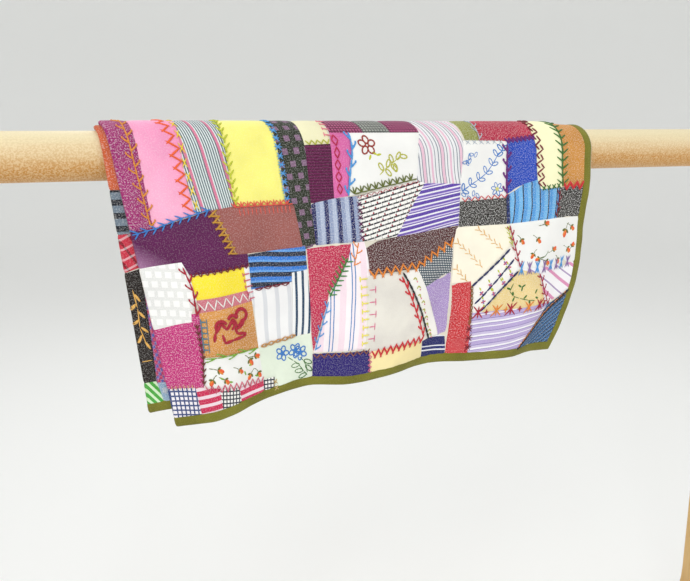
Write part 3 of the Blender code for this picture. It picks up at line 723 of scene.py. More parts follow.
# ---- Patches --------------------------------------------------------------------------------
# Each patch is cut to its own outline, its edges are turned under, and it is pressed flat and
# sewn to the wadding, so it swells a little between its seams. Corners are (across, down) in mm.
EDGE = 543  # a patch's outer side, under the binding
PATCH_CELL = 0.0055
SEAM_DEPTHS = (0.0013, 0.0032)  # creases beside a seam, in from the patch's edge
PATCH_SWELL = (0.0001, 0.0006, 0.0009, 0.0013)  # height at the edge, the creases and the middle
PATCHES = [
    ("plum_wool", 0, (0, -12, 25, -12, 22, 118, 0, 120)),
    ("pink_satin", 0, (25, -12, 72, -12, 66, 35, 64, 60, 66, 105, 22, 118)),
    ("grey_pink_stripe", 0, (72, -12, 115, -12, 109, 40, 108, 99, 82, 102, 66, 105, 64, 60, 66, 35)),
    ("lemon_silk", 0, (115, -12, 168, -12, 163, 40, 163, 80, 165, 99, 108, 99, 109, 40)),
    ("mauve_spot", -4, (168, -12, 197, -12, 193, 40, 193, 143, 177, 145, 173, 101, 165, 99, 163, 40)),
    ("cream_cotton", 0, (197, -12, 230, -12, 222, 39, 193, 40)),
    ("ribbed_plum", 0, (193, 40, 222, 39, 219, 95, 192, 100)),
    ("orchid_silk", 0, (226, 27, 247, 27, 244, 50, 240, 65, 235, 93, 219, 95, 222, 39)),
    ("magenta_check", 0, (230, -12, 265, -12, 265, 27, 226, 27)),
    ("grey_check", 0, (265, -12, 297, -12, 297, 27, 265, 27)),
    ("magenta_check", 0, (297, -12, 336, -12, 332, 27, 297, 27)),
    ("white_lawn", 0, (247, 27, 332, 27, 325, 40, 320, 79, 236, 93, 240, 65, 244, 50)),
    ("rose_ticking", 0,
        (336, -12, 390, -12, 382, 37, 379, 60, 376, 84, 330, 82, 320, 79, 325, 40, 332, 27)),
    ("brick_print", -13, (246, 93, 320, 79, 330, 82, 287, 138, 244, 141)),
    ("violet_stripe", -9, (330, 82, 376, 84, 373, 131, 287, 138)),
    ("navy_ticking", 3, (192, 100, 219, 95, 246, 93, 244, 141, 192, 144)),
    ("olive_wool", 0, (390, -12, 418, -12, 403, 37, 385, 36)),
    ("crimson_wool", 0, (418, -12, 492, -12, 478, 33, 440, 38, 403, 37)),
    ("white_lawn", 0, (382, 37, 403, 37, 440, 38, 436, 101, 375, 104, 376, 84)),
    ("royal_wool", 0, (438, 38, 478, 33, 480, 82, 462, 86, 437, 97)),
    ("primrose", 0, (492, -12, 521, -12, 511, 35, 511, 60, 512, 91, 484, 93, 480, 82, 478, 33)),
    ("ochre_wool", 0, (521, -12, EDGE, -12, EDGE, 91, 512, 91, 511, 35)),
    ("sky_stripe", 0, (440, 97, 462, 86, 480, 82, 484, 93, 508, 92, 508, 110, 505, 127, 439, 131)),
    ("dark_blue_wool", 0, (436, 98, 440, 97, 439, 131, 434, 131)),
    ("charcoal_tweed", 0, (375, 104, 436, 101, 434, 131, 373, 133)),
    ("charcoal_tweed", 0, (508, 92, EDGE, 91, EDGE, 127, 505, 127)),
    ("white_lawn", 0, (437, 131, 505, 127, EDGE, 127, EDGE, 182, 450, 184, 444, 163, 440, 145)),
    ("cream_lawn", 0, (368, 133, 437, 131, 440, 145, 438, 157, 391, 203, 390, 196, 365, 199, 366, 150)),
    ("sprig_lawn", 0, (391, 203, 438, 157, 444, 163, 450, 184, 409, 233, 396, 233)),
    ("tan_print", 0, (450, 184, 478, 190, 492, 212, 503, 228, 409, 233)),
    ("pink_ticking", 0, (450, 184, EDGE, 182, EDGE, 216, 512, 230, 503, 228, 492, 212, 478, 190)),
    ("lavender_stripe", 0, (396, 233, 503, 228, 512, 230, 482, 280, 406, 281)),
    ("denim", 0, (512, 230, EDGE, 217, EDGE, 280, 482, 280)),
    ("scarlet_wool", 0, (365, 199, 390, 196, 396, 233, 406, 281, 377, 283, 370, 245)),
    ("navy_band", 4, (334, 261, 344, 259, 359, 257, 370, 256, 377, 283, 342, 286)),
    ("slate_check", 6, (312, 175, 334, 163, 365, 150, 364, 184, 325, 197)),
    ("lilac_wool", 0, (325, 197, 364, 184, 365, 199, 370, 245, 370, 256, 359, 257)),
    ("sprig_lawn", -26, (292, 178, 312, 175, 325, 197, 359, 257, 344, 259)),
    ("brown_tweed", 0, (247, 148, 262, 141, 287, 138, 373, 131, 366, 150, 334, 163, 312, 175, 248, 177)),
    ("oatmeal", 0, (248, 177, 292, 178, 344, 259, 334, 261, 250, 262, 246, 258, 243, 180)),
    ("custard", 0, (252, 262, 334, 261, 342, 286, 259, 289)),
    ("indigo_wool", 0, (183, 262, 252, 260, 259, 289, 184, 291)),
    ("rose_line", 0,
        (231, 143, 246, 141, 247, 148, 248, 177, 243, 180, 246, 258, 184, 261, 203, 196, 226, 160)),
    ("rose_wool", 0, (181, 147, 231, 143, 226, 160, 203, 196, 184, 261, 181, 239, 180, 200)),
    ("blue_black_stripe", 0, (113, 148, 180, 143, 180, 169, 161, 171, 160, 181, 111, 184)),
    ("navy_pinstripe", 0, (161, 171, 180, 169, 181, 239, 157, 241)),
    ("grey_line", 0, (111, 184, 160, 181, 157, 241, 113, 247)),
    ("celadon", 0,
        (113, 247, 157, 241, 181, 239, 183, 262, 184, 291, 160, 291, 134, 299, 133, 282, 118, 284)),
    ("amber_wool", 0, (49, 202, 110, 196, 113, 248, 46, 249)),
    ("bright_yellow", 0, (47, 165, 106, 160, 106, 184, 49, 189)),
    ("dusty_pink", 0, (49, 189, 106, 184, 110, 196, 49, 202)),
    ("aubergine_silk", 0,
        (0, 120, 22, 118, 82, 102, 97, 147, 113, 147, 112, 160, 47, 164, 42, 151, 0, 156)),
    ("brown_rose", 0, (82, 102, 108, 99, 165, 99, 173, 101, 177, 145, 113, 147, 97, 147)),
    ("soft_chequer", 5, (0, 156, 42, 151, 47, 165, 49, 189, 41, 203, 40, 211, 0, 218)),
    ("fuchsia_wool", 0, (0, 218, 40, 211, 41, 203, 49, 202, 46, 249, 41, 280, 0, 280)),
    ("white_lawn", 0, (46, 249, 113, 247, 118, 284, 84, 285, 59, 282, 41, 280)),
    ("blue_plaid", 3, (0, 280, 31, 280, 33, 309, 0, 314)),
    ("crimson_bar", 0, (31, 280, 59, 282, 60, 305, 33, 309)),
    ("black_plaid", 6, (59, 282, 84, 285, 86, 303, 60, 305)),
    ("crimson_bar", 3, (84, 285, 118, 284, 119, 301, 86, 303)),
    ("black_plaid", 0, (118, 284, 133, 282, 134, 299, 119, 301)),
    ("grey_line", 0, (106, 160, 112, 160, 111, 184, 106, 184)),
    ("mauve_spot", 0, (177, 145, 193, 143, 192, 144, 181, 147)),
    ("grey_line", 0, (106, 184, 111, 184, 113, 248, 110, 196)),
]
STRIP = [  # on the under half, which shows at the left
    ("terracotta", 0, (0, -12, 42, -12, 42, 80, 0, 80)),
    ("slate_stripe", 0, (0, 80, 42, 80, 42, 120, 0, 123)),
    ("red_plaid", 0, (0, 123, 42, 120, 42, 147, 0, 161)),
    ("black_wool", 0, (0, 161, 16, 156, 15, 240, 14, 272, 0, 273)),
    ("red_blue_mix", 0, (16, 156, 42, 147, 42, 275, 14, 275, 15, 240)),
    ("green_stripe", 0, (0, 273, 14, 272, 20, 297, 0, 299)),
    ("blue_grey", 0, (14, 272, 42, 270, 42, 295, 20, 297)),
]


def inside(outline, point):
    """Whether a point is in an outline, by counting the sides that a line from it crosses."""
    x, y = point
    hit = False
    for (x0, y0), (x1, y1) in zip(outline, outline[1:] + outline[:1]):
        if (y0 > y) != (y1 > y) and x < x0 + (y - y0) * (x1 - x0) / (y1 - y0):
            hit = not hit
    return hit


def move_into(whole, part):
    """Adds a finished part to the mesh it belongs to."""
    held = bpy.data.meshes.new("held")
    part.to_mesh(held)
    part.free()
    whole.from_mesh(held)
    bpy.data.meshes.remove(held)


def cut_patch(whole, outline, grain, place, shift=0.0, creases=()):
    """A grid of cloth cut along its outline and creased beside it, with its UV in metres."""
    bm = bmesh.new()
    uv = bm.loops.layers.uv.new("cloth")
    xs, ys = [p[0] for p in outline], [p[1] for p in outline]
    middle = Vector(((min(xs) + max(xs)) / 2, (min(ys) + max(ys)) / 2, 0))
    width, length = max(xs) - min(xs), max(ys) - min(ys)
    lay = Matrix.Translation(middle) @ Matrix.Diagonal((width * 0.501, length * 0.501, 1, 1))
    bmesh.ops.create_grid(bm, x_segments=max(1, round(width / PATCH_CELL)),
                          y_segments=max(1, round(length / PATCH_CELL)), size=1.0, matrix=lay)
    sides = list(zip(outline, outline[1:] + outline[:1]))
    turned = sum(a[0] * b[1] - b[0] * a[1] for a, b in sides) > 0
    for (x0, y0), (x1, y1) in sides:
        along = Vector((x1 - x0, y1 - y0, 0)).normalized()
        inward = Vector((-along.y, along.x, 0)) if turned else Vector((along.y, -along.x, 0))
        for depth in (0.0, *SEAM_DEPTHS):
            bmesh.ops.bisect_plane(bm, geom=bm.verts[:] + bm.edges[:] + bm.faces[:], dist=2e-5,
                                   plane_co=Vector((x0, y0, 0)) + inward * depth, plane_no=-inward)
    for corner, across in creases:
        bmesh.ops.bisect_plane(bm, geom=bm.verts[:] + bm.edges[:] + bm.faces[:], dist=2e-5,
                               plane_co=corner, plane_no=across)
    outside = [f for f in bm.faces if not inside(outline, f.calc_center_median()[:2])]
    bmesh.ops.delete(bm, geom=outside, context="FACES")
    flat = np.array([v.co[:2] for v in bm.verts])
    away = np.full(len(flat), 1.0)
    for a, b in sides:
        a, b = np.array(a), np.array(b)
        share = np.clip(((flat - a) @ (b - a)) / ((b - a) @ (b - a)), 0, 1)[:, None]
        away = np.minimum(away, np.linalg.norm(flat - a - share * (b - a), axis=1))
    height = np.interp(away, (0.0, *SEAM_DEPTHS, 0.016), PATCH_SWELL)
    cos, sin = math.cos(math.radians(grain)), math.sin(math.radians(grain))
    for face in bm.faces:
        for loop in face.loops:
            x, y = loop.vert.co.x - middle.x, loop.vert.co.y - middle.y
            loop[uv].uv = (x * cos + y * sin + shift, y * cos - x * sin + shift)
    for vert, point in zip(bm.verts, place(flat[:, 0], flat[:, 1], FACE + height)):
        vert.co = point
    move_into(whole, bm)


BACK_WIDTH = 0.538  # the layout is turned over on the back, and ends here at the fold
BACK_START = -0.024


def on_front(across, down, height):
    return folded(across, down, height)


def on_back(across, down, height):
    return folded(BACK_WIDTH - across, BACK_START - down, height)


def on_lining_front(across, down, height):
    """The upper half's inner leaf, which shows beyond the shorter under half."""
    return folded(-across, down, height)


def on_lining_back(across, down, height):
    return folded(-across, BACK_START - down, height)


def on_strip(across, down, height):
    return folded(-across, under_run(down), height)


def on_strip_back(across, down, height):
    return folded(-across, under_run(BACK_START - down), height)


def on_inner_front(across, down, height):
    """The under half's face towards the rail, where the layout is a little shorter."""
    shorter = np.where(down > 0, (under_hem(across) - 0.008) / (upper_hem(across) - 0.008), 1.0)
    return folded(across, under_run(down * shorter), height)


def on_inner_back(across, down, height):
    return folded(across, under_run(BACK_START - down), height)


def outline_of(corners, wrap=True):
    pairs = list(zip(corners[::2], corners[1::2]))
    return [((-5 if u == 0 and wrap else u) / 1000, v / 1000) for u, v in pairs]


def cuts(direction, start, step, count):
    return [(Vector(direction) * (start + n * step), direction) for n in range(count)]


# Extra cuts where a patch goes round a fold: the tight ones at the side, or the wide one below.
SIDE_FOLD = cuts((1, 0, 0), -0.0024, 0.0006, 10)
BACK_SIDE_FOLD = cuts((1, 0, 0), BACK_WIDTH - 0.003, 0.0006, 10)
LOW_FOLD = cuts((0, 1, 0), BACK_DROP + BACK_START, BACK_TURN / 7, 8)

cut = {name: bmesh.new() for name in FABRICS}
used = {patch[0] for patch in PATCHES}
swap = [name for name in FABRICS if name in used]
SHEENED_SILKS = ("pink_satin", "aubergine_silk")  # silks whose painted sheen has its place in the patch
# How far on in the list each hidden leaf's fabrics start.
ON_BACK, ON_INNER_FRONT, ON_INNER_BACK, ON_LINING_FRONT, ON_LINING_BACK = 23, 11, 3, 7, 19
SIDE_REACH, LOW_REACH, HEM_REACH = 500, 250, 285  # patches past these are near an edge


def cut_from(step, outline, place, creases=()):
    """Cuts the patch in hand from the fabric that is a step further on in the list."""
    chosen = swap[(swap.index(name) + step) % len(swap)]
    shift = 0.0 if chosen in SHEENED_SILKS else (number + step) * 0.013
    cut_patch(cut[chosen], outline, grain, place, shift, creases)


for number, (name, grain, corners) in enumerate(PATCHES):
    reach, bottom = max(corners[::2]), max(corners[1::2])
    flush = outline_of(corners, False)
    turned_over = [((0.548 if u == EDGE / 1000 else u) or -0.002, v) for u, v in flush]
    cut_from(0, outline_of(corners), on_front, SIDE_FOLD if 0 in corners[::2] else ())
    cut_from(ON_BACK, turned_over, on_back, LOW_FOLD + (BACK_SIDE_FOLD if reach == EDGE else []))
    cut_from(ON_INNER_FRONT, flush, on_inner_front)
    if bottom < HEM_REACH:
        cut_from(ON_INNER_BACK, flush, on_inner_back)
    if reach > SIDE_REACH or bottom > LOW_REACH:
        cut_from(ON_LINING_FRONT, flush, on_lining_front)
    if reach > SIDE_REACH and bottom < HEM_REACH:
        cut_from(ON_LINING_BACK, flush, on_lining_back)
for name, grain, corners in STRIP:
    creases = SIDE_FOLD if 0 in corners[::2] else ()
    cut_patch(cut[name], outline_of(corners), grain, on_strip, 0.0, creases)
    if max(corners[1::2]) < HEM_REACH:
        cut_patch(cut[name], outline_of(corners), grain, on_strip_back, 0.0, creases)
for name, bm in cut.items():
    if not bm.faces:
        bm.free()
        continue
    bmesh.ops.remove_doubles(bm, verts=bm.verts, dist=1e-6)
    patch = add_bmesh("patch_" + name, bm, fabric(name))
    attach(patch, "quilt")

# ---- Embroidered seams ----------------------------------------------------------------------
# Every seam is worked over by hand in soft cotton thread. A stitch is one short plump length of
# thread, whose ends go into the cloth. Each kind is given as its strokes: (along, across) pairs
# in units of its pitch and its width, with the second half turned over where it alternates.
THREAD = 0.00062
THREAD_RISE = 0.0011  # a stitch's middle over the cloth's own face
CROSSING_RISE = 0.00012  # each stroke over the one before
STROKES = {
    "feather": ([(0, 0, 1.05, 0), (0.9, 0, 0.25, 1), (0.25, 1, 0.02, 1.05)], True),
    "herringbone": ([(0, -1, 0.64, 1), (0.40, 1, 1.06, -1)], False),
    "zigzag": ([(0, -1, 0.52, 1), (0.48, 1, 1, -1)], False),
    "cross": ([(0.15, -1, 0.85, 1), (0.15, 1, 0.85, -1)], False),
    "plus": ([(0.1, 0, 0.9, 0), (0.5, -1, 0.5, 1)], False),
    "fly": ([(0, 1, 0.6, 0), (0, -1, 0.6, 0), (0.6, 0, 1.0, 0)], False),
    "fern": ([(0, 0, 1.05, 0), (0.75, 0, 0.1, 1), (0.75, 0, 0.1, -1)], False),
    "blanket": ([(0, 0, 1.05, 0), (0.5, 0, 0.5, 1)], False),
    "star": ([(0.1, -0.8, 0.9, 0.8), (0.1, 0.8, 0.9, -0.8), (0.5, -1, 0.5, 1)], False),
    "chain": ([(0, 0, 0.5, 0.55), (0.5, 0.55, 1.1, 0), (0, 0, 0.5, -0.55), (0.5, -0.55, 1.1, 0)], False),
    "diamond": ([(0, 0, 0.45, 1), (0.45, 1, 0.9, 0), (0, 0, 0.45, -1), (0.45, -1, 0.9, 0)], False),
    "triangle": ([(0, 0, 1.0, 0), (0, 0, 0.5, 1), (0.5, 1, 1, 0)], False),
    "bars": ([(0.5, -1, 0.5, 1)], False),
    "hooks": ([(0.0, -1, 0.5, 1), (0.5, 1, 0.95, 0.1), (0.5, -0.3, 1.0, -1)], False),
    "tees": ([(0.5, -1, 0.5, 1), (0.2, 1, 0.8, 1)], False),
    "stem": ([(0, 0, 1.15, 0)], False),
    "tied": ([(0.3, -1, 0.62, 1), (0.3, 1, 0.62, -1), (0.46, -0.9, 0.46, 0.9)], False),
    "spray": ([(0, 0, 1.0, 0), (0, 0, 0.05, 1), (0, 0, -0.45, 0.8), (0, 0, 0.5, 0.85)], False),
}


def plump_shape(segments, rings):
    """A small round form, made once and laid down many times: its vertices and its faces."""
    bm = bmesh.new()
    bmesh.ops.create_uvsphere(bm, u_segments=segments, v_segments=rings, radius=1.0)
    bm.verts.index_update()
    shape = np.array([v.co for v in bm.verts]), [[v.index for v in f.verts] for f in bm.faces]
    bm.free()
    return shape


STITCH_SHAPE = plump_shape(6, 4)
PETAL_SHAPE = plump_shape(10, 5)


def grain_of_thread(stitches, start, end, thick, rise=0.0):
    """One stitch: a plump length with pointed ends, from start to end on the flat cloth."""
    start, end = Vector((*start, 0)), Vector((*end, 0))
    run = end - start
    turn = run.to_track_quat("Z", "Y").to_matrix().to_4x4()
    lay = Matrix.Translation((start + end) / 2 + Vector((0, 0, rise))) @ turn
    size = Matrix.Diagonal((thick, thick, run.length / 2 + thick * 0.6, 1))
    stitches.append((STITCH_SHAPE, lay @ size))


def worked_line(points, pitch):
    """Places and directions along a line through points, one for each stitch."""
    points = [Vector(p) / 1000 for p in points]
    lengths = [(b - a).length for a, b in zip(points, points[1:])]
    count = max(1, round(sum(lengths) / pitch))
    step = sum(lengths) / count
    for number in range(count):
        left = number * step
        for (a, b), length in zip(zip(points, points[1:]), lengths):
            if left <= length or b is points[-1]:
                yield number, a.lerp(b, left / length), (b - a).normalized(), step
                break
            left -= length


def work_seam(stitches, kind, corners, pitch, width, thick):
    strokes, alternates = STROKES[kind]
    points = list(zip(corners[::2], corners[1::2]))
    for number, place, along, step in worked_line(points, pitch / 1000):
        side = -1 if alternates and number % 2 else 1
        across = Vector((-along.y, along.x)) * (side * width / 1000)
        sway = 1 + 0.10 * math.sin(number * 2.4 + place.x * 90)
        for layer, (x0, y0, x1, y1) in enumerate(strokes):
            start = place + along * (step * x0) + across * (y0 * sway)
            end = place + along * (step * x1) + across * (y1 * sway)
            grain_of_thread(stitches, start, end, thick, layer * CROSSING_RISE)


THREADS = {
    "gold": (222, 142, 52), "orange": (240, 98, 44), "yellow": (246, 216, 40), "citron": (196, 204, 50),
    "sky": (84, 160, 226), "straw": (188, 188, 72), "shell": (232, 130, 150), "ruby": (192, 30, 76),
    "leaf": (62, 116, 42), "plum": (96, 26, 82), "crimson": (176, 24, 52), "silver": (186, 196, 206),
    "scarlet": (212, 40, 50), "purple": (108, 30, 122), "wine": (124, 18, 40), "navy": (28, 38, 92),
    "fern_gold": (232, 180, 92), "lilac": (150, 120, 176), "bronze": (138, 98, 40),
    "black": (30, 30, 34), "tangerine": (236, 140, 50), "pale_yellow": (248, 234, 110),
    "pink": (226, 110, 150), "brown": (150, 88, 52), "rose": (214, 92, 120), "blue": (60, 128, 206),
    "slate": (92, 130, 150), "coral": (236, 96, 80), "maroon": (110, 50, 36), "ecru": (206, 178, 120),
    "olive_green": (104, 114, 44), "lime": (130, 180, 60), "green": (60, 140, 60),
    "white": (246, 244, 238), "russet": (158, 52, 40), "old_gold": (196, 142, 46),
    "tan": (200, 148, 88),
}
SEAMS = [  # thread, kind, corners in mm, pitch, width, times the usual thickness
    ("gold", "feather", (17, 2, 18, 60, 20, 116), 7.2, 5.5, 1.6),
    ("orange", "herringbone", (54, -6, 58, 40, 60, 102), 11.5, 5.5, 1.8),
    ("yellow", "cross", (67, -6, 66, 50, 69, 103), 13.0, 2.6, 1.0),
    ("citron", "fly", (113, -6, 109, 50, 110, 98), 9.0, 4.6, 1.6),
    ("sky", "star", (167, -6, 164, 40, 166, 98), 9.0, 3.8, 1.1),
    ("straw", "zigzag", (195, 38, 222, 37), 6.5, 2.2, 1.2),
    ("shell", "tees", (227, 3, 222, 34), 8.0, 3.6, 1.1),
    ("ruby", "diamond", (228, 30, 226, 92), 11.5, 3.2, 1.3),
    ("sky", "feather", (247, 27, 244, 52, 235, 92), 9.5, 4.8, 1.8),
    ("olive_green", "spray", (242, 91, 280, 84, 320, 77), 8.5, -7.5, 1.4),
    ("crimson", "zigzag", (244, 95, 322, 80), 7.5, 1.4, 0.6),
    ("plum", "cross", (246, 98, 244, 140), 7.5, 2.8, 1.1),
    ("silver", "feather", (411, 4, 404, 36), 8.0, 4.4, 1.1),
    ("scarlet", "bars", (416, 10, 406, 34), 7.0, 2.0, 0.9),
    ("silver", "cross", (383, 39, 435, 39), 9.0, 2.4, 0.7),
    ("scarlet", "zigzag", (377, 102, 437, 99), 9.0, 2.4, 0.9),
    ("purple", "feather", (438, 42, 436, 96), 8.0, 4.8, 2.2),
    ("purple", "zigzag", (438, 38, 479, 34), 6.0, 2.6, 2.1),
    ("wine", "hooks", (488, -4, 481, 34, 485, 90), 10.0, 4.6, 1.6),
    ("leaf", "fern", (516, -6, 511, 40, 512, 90), 8.5, 7.0, 1.5),
    ("leaf", "cross", (484, 92, 510, 89), 6.5, 2.8, 1.2),
    ("scarlet", "zigzag", (513, 90, 540, 90), 10.0, 4.6, 2.2),
    ("wine", "feather", (509, 95, 505, 126), 6.5, 3.0, 1.1),
    ("navy", "cross", (437, 99, 436, 131), 6.0, 2.0, 1.1),
    ("fern_gold", "fly", (368, 148, 384, 162, 402, 180), 9.0, 3.6, 0.9),
    ("fern_gold", "fly", (368, 178, 385, 196), 9.0, 3.6, 0.9),
    ("fern_gold", "fly", (395, 134, 412, 148, 427, 160), 8.0, 3.6, 0.9),
    ("citron", "fly", (434, 134, 440, 156), 6.5, 2.8, 0.9),
    ("crimson", "feather", (438, 133, 444, 158, 450, 181), 6.5, 3.6, 1.2),
    ("sky", "tied", (442, 183, 530, 180), 22.0, 7.8, 1.3),
    ("lilac", "tied", (453, 183, 541, 180), 22.0, 7.8, 1.3),
    ("crimson", "feather", (479, 190, 494, 212, 512, 231), 6.5, 4.0, 1.2),
    ("crimson", "tied", (384, 233, 516, 227), 44.0, 7.6, 1.6),
    ("tangerine", "tied", (409, 232, 497, 228), 44.0, 7.6, 1.5),
    ("crimson", "plus", (412, 233, 419, 232), 7.0, 3.6, 1.4),
    ("tangerine", "plus", (438, 231, 445, 231), 7.0, 3.6, 1.4),
    ("crimson", "plus", (457, 231, 464, 230), 7.0, 3.6, 1.4),
    ("crimson", "plus", (498, 229, 505, 228), 7.0, 3.6, 1.4),
    ("black", "stem", (541, 216, 512, 241, 482, 279), 5.0, 1.0, 2.8),
    ("tangerine", "chain", (540, 217, 512, 240, 482, 278), 7.0, 3.0, 1.0),
    ("bronze", "chain", (391, 201, 397, 246), 6.0, 2.4, 1.0),
    ("wine", "star", (397, 246, 404, 278), 12.0, 4.6, 1.0),
    ("tangerine", "herringbone", (247, 176, 312, 172, 366, 149), 11.5, 5.4, 1.9),
    ("pale_yellow", "tees", (240, 176, 245, 256), 9.0, 4.0, 1.5),
    ("pink", "tees", (250, 186, 252, 254), 14.5, -4.0, 1.0),
    ("scarlet", "feather", (290, 182, 308, 214, 333, 254), 8.5, 3.6, 1.9),
    ("scarlet", "herringbone", (256, 266, 335, 258), 9.0, 5.0, 1.9),
    ("brown", "zigzag", (184, 265, 252, 261), 9.0, 2.6, 1.1),
    ("pink", "zigzag", (253, 262, 257, 286), 6.0, 2.6, 1.0),
    ("green", "fern", (225, 158, 203, 199), 6.0, 6.0, 1.3),
    ("sky", "feather", (201, 205, 186, 258), 6.5, 4.0, 1.2),
    ("tangerine", "feather", (239, 142, 231, 166), 6.0, 5.0, 1.1),
    ("wine", "triangle", (115, 184, 157, 181), 10.0, 2.4, 1.0),
    ("slate", "blanket", (49, 208, 47, 243), 5.5, -5.5, 1.4),
    ("slate", "stem", (55, 208, 53, 243), 5.5, 4.0, 1.0),
    ("wine", "zigzag", (47, 164, 112, 159), 7.5, 2.2, 1.2),
    ("crimson", "feather", (42, 156, 47, 178, 46, 204), 8.5, 4.4, 1.6),
    ("blue", "fern", (0, 123, 22, 118, 50, 109, 82, 101), 9.5, 4.6, 1.3),
    ("old_gold", "herringbone", (83, 103, 90, 124, 97, 147), 7.0, 5.6, 1.7),
    ("coral", "spray", (108, 100, 172, 99), 7.0, -5.5, 1.1),
    ("coral", "bars", (110, 105, 170, 104), 4.5, 4.0, 0.8),
    ("maroon", "fern", (44, 213, 45, 248, 41, 278), 6.5, 2.6, 1.1),
    ("ecru", "bars", (2, 279, 30, 279), 4.5, 2.4, 0.9),
    ("lime", "feather", (47, 250, 112, 247), 12.0, 3.4, 1.2),
    ("rose", "zigzag", (42, 282, 118, 284), 8.0, 4.4, 1.2),
    ("tan", "chain", (116, 246, 160, 239), 9.5, 3.6, 1.3),
    ("ecru", "cross", (133, 284, 136, 298), 6.0, 2.6, 1.1),
    ("white", "zigzag", (50, 196, 110, 190), 10.5, 4.8, 1.2),
    ("rose", "tees", (107, 164, 110, 196), 7.0, 4.0, 1.1),
    ("ecru", "stem", (86, 104, 100, 146), 5.0, 1.0, 1.0),
]
work = {}  # thread: its stitches on each side of the quilt, as (shape, lay on the flat cloth)


def stitches_in(thread, place):
    """The list of one thread's stitches on one side of the quilt."""
    return work.setdefault(thread, {}).setdefault(place, [])


for thread, kind, corners, pitch, width, thick in SEAMS:
    for place in (on_front, on_back):
        work_seam(stitches_in(thread, place), kind, corners, pitch, width, THREAD * thick)

# ---- Embroidered flowers --------------------------------------------------------------------
# Sprays, buds and looped flowers are worked inside the plain patches: stems in stem stitch, and
# leaves and petals in satin stitch or as open loops, all a little proud of the cloth.
SATIN_RISE = 0.0007


def petal(stitches, x, y, length, width, angle):
    """A satin-stitched leaf or petal from its base at (x, y), at an angle in degrees, in mm."""
    along = Vector((math.cos(math.radians(angle)), math.sin(math.radians(angle))))
    middle = Vector((x, y)) / 1000 + along * (length / 2000)
    lay = Matrix.Translation((*middle, 0)) @ Matrix.Rotation(math.radians(angle), 4, "Z")
    size = Matrix.Diagonal((length / 2000, width / 2000, SATIN_RISE, 1))
    stitches.append((PETAL_SHAPE, lay @ size))


def loop(stitches, x, y, length, width, angle, thick=1.0):
    """An open loop of thread, as in lazy-daisy stitch."""
    points = []
    for step in range(9):
        turn = math.tau * step / 8
        along, across = (1 - math.cos(turn)) / 2 * length, math.sin(turn) * width / 2
        cos, sin = math.cos(math.radians(angle)), math.sin(math.radians(angle))
        points.append((x + along * cos - across * sin, y + along * sin + across * cos))
    stem(stitches, points, thick)


def stem(stitches, points, thick=1.0):
    for (x0, y0), (x1, y1) in zip(points, points[1:]):
        grain_of_thread(stitches, (x0 / 1000, y0 / 1000), (x1 / 1000, y1 / 1000), THREAD * thick)


def arc(x, y, radius, start, end, steps=8):
    return [(x + radius * math.cos(math.radians(start + (end - start) * n / steps)),
             y + radius * math.sin(math.radians(start + (end - start) * n / steps)))
            for n in range(steps + 1)]


def motif(thread):
    return stitches_in(thread, on_front)


# looped flower, two leaves and an olive spray on the white patch by the ridge
for turn in (-90, -20, 50, 125, 200):
    cos, sin = math.cos(math.radians(turn)), math.sin(math.radians(turn))
    loop(motif("russet"), 263 + 1.5 * cos, 41 + 1.5 * sin, 8.5, 6.5, turn, 1.6)
for x, y, turn in ((267, 48, 20), (272, 51, -10), (266, 50, 110)):
    petal(motif("citron"), x, y, 6.5, 2.6, turn)
stem(motif("straw"), [(274, 72), (281, 66), (288, 61), (296, 56), (301, 52)], 1.1)
for x, y, turn in ((279, 67, -120), (284, 64, -70), (291, 59, -110), (296, 56, -60), (282, 66, 50),
        (289, 61, 45), (300, 52, 10), (293, 60, 80)):
    loop(motif("straw"), x, y, 9.0, 4.4, turn, 1.5)
# blue leaf vine, star flower and sprig
vine = [(378, 92), (388, 86), (399, 80), (409, 73), (417, 64), (424, 54), (431, 48)]
stem(motif("blue"), vine, 1.0)
for number, (x, y) in enumerate(vine):
    turn = -30 - number * 9
    loop(motif("blue"), x, y, 8.5, 3.8, turn - 50, 1.1)
    loop(motif("blue"), x, y, 8.5, 3.8, turn + 48, 1.1)
for turn in range(0, 360, 60):
    loop(motif("blue"), 423, 91, 8.0, 4.0, turn + 12, 0.9)
    petal(motif("pale_yellow"), 423, 91, 3.0, 1.8, turn + 40)
for x, y, turn in ((386, 64, -110), (386, 62, -60), (387, 58, -80), (385, 60, 170), (394, 55, -60),
        (393, 52, 180), (382, 98, -150), (384, 98, 40), (396, 95, 60), (393, 92, 100)):
    loop(motif("blue"), x, y, 6.5, 3.4, turn, 0.75)
# orange rose-buds with olive calyx and stem, on two white patches
for x, y, turn, size in ((486, 133, -20, 1.0), (452, 149, 60, 1.0), (474, 149, 50, 1.0),
        (521, 141, 110, 1.5), (530, 138, 40, 1.0), (497, 164, -30, 1.0), (508, 175, 60, 1.0),
        (525, 164, 40, 1.1), (533, 163, -60, 0.9), (468, 166, 120, 1.0), (486, 176, 30, 1.1),
        (476, 172, 160, 0.9), (59, 262, 20, 1.1), (85, 265, 40, 1.0), (100, 257, 60, 1.2),
        (107, 255, 0, 1.0), (52, 272, 120, 1.1), (66, 273, 40, 1.0), (101, 273, 120, 1.1),
        (111, 273, 60, 1.0)):
    size *= 1.15
    cos, sin = math.cos(math.radians(turn)), math.sin(math.radians(turn))
    petal(motif("orange"), x, y, 6.4 * size, 3.8 * size, turn)
    petal(motif("tangerine"), x + 0.6, y + 0.4, 5.6 * size, 2.4 * size, turn + 22)
    petal(motif("olive_green"), x, y, 4.0 * size, 2.0 * size, turn + 58)
    petal(motif("olive_green"), x, y, 4.0 * size, 2.0 * size, turn - 58)
    stem(motif("olive_green"), [(x, y), (x - 4 * cos * size, y - 3 * sin * size),
                                (x - 8 * cos * size, y - 4.5 * sin * size)], 0.8)
stem(motif("leaf"), arc(478, 160, 12, 100, 20), 0.8)
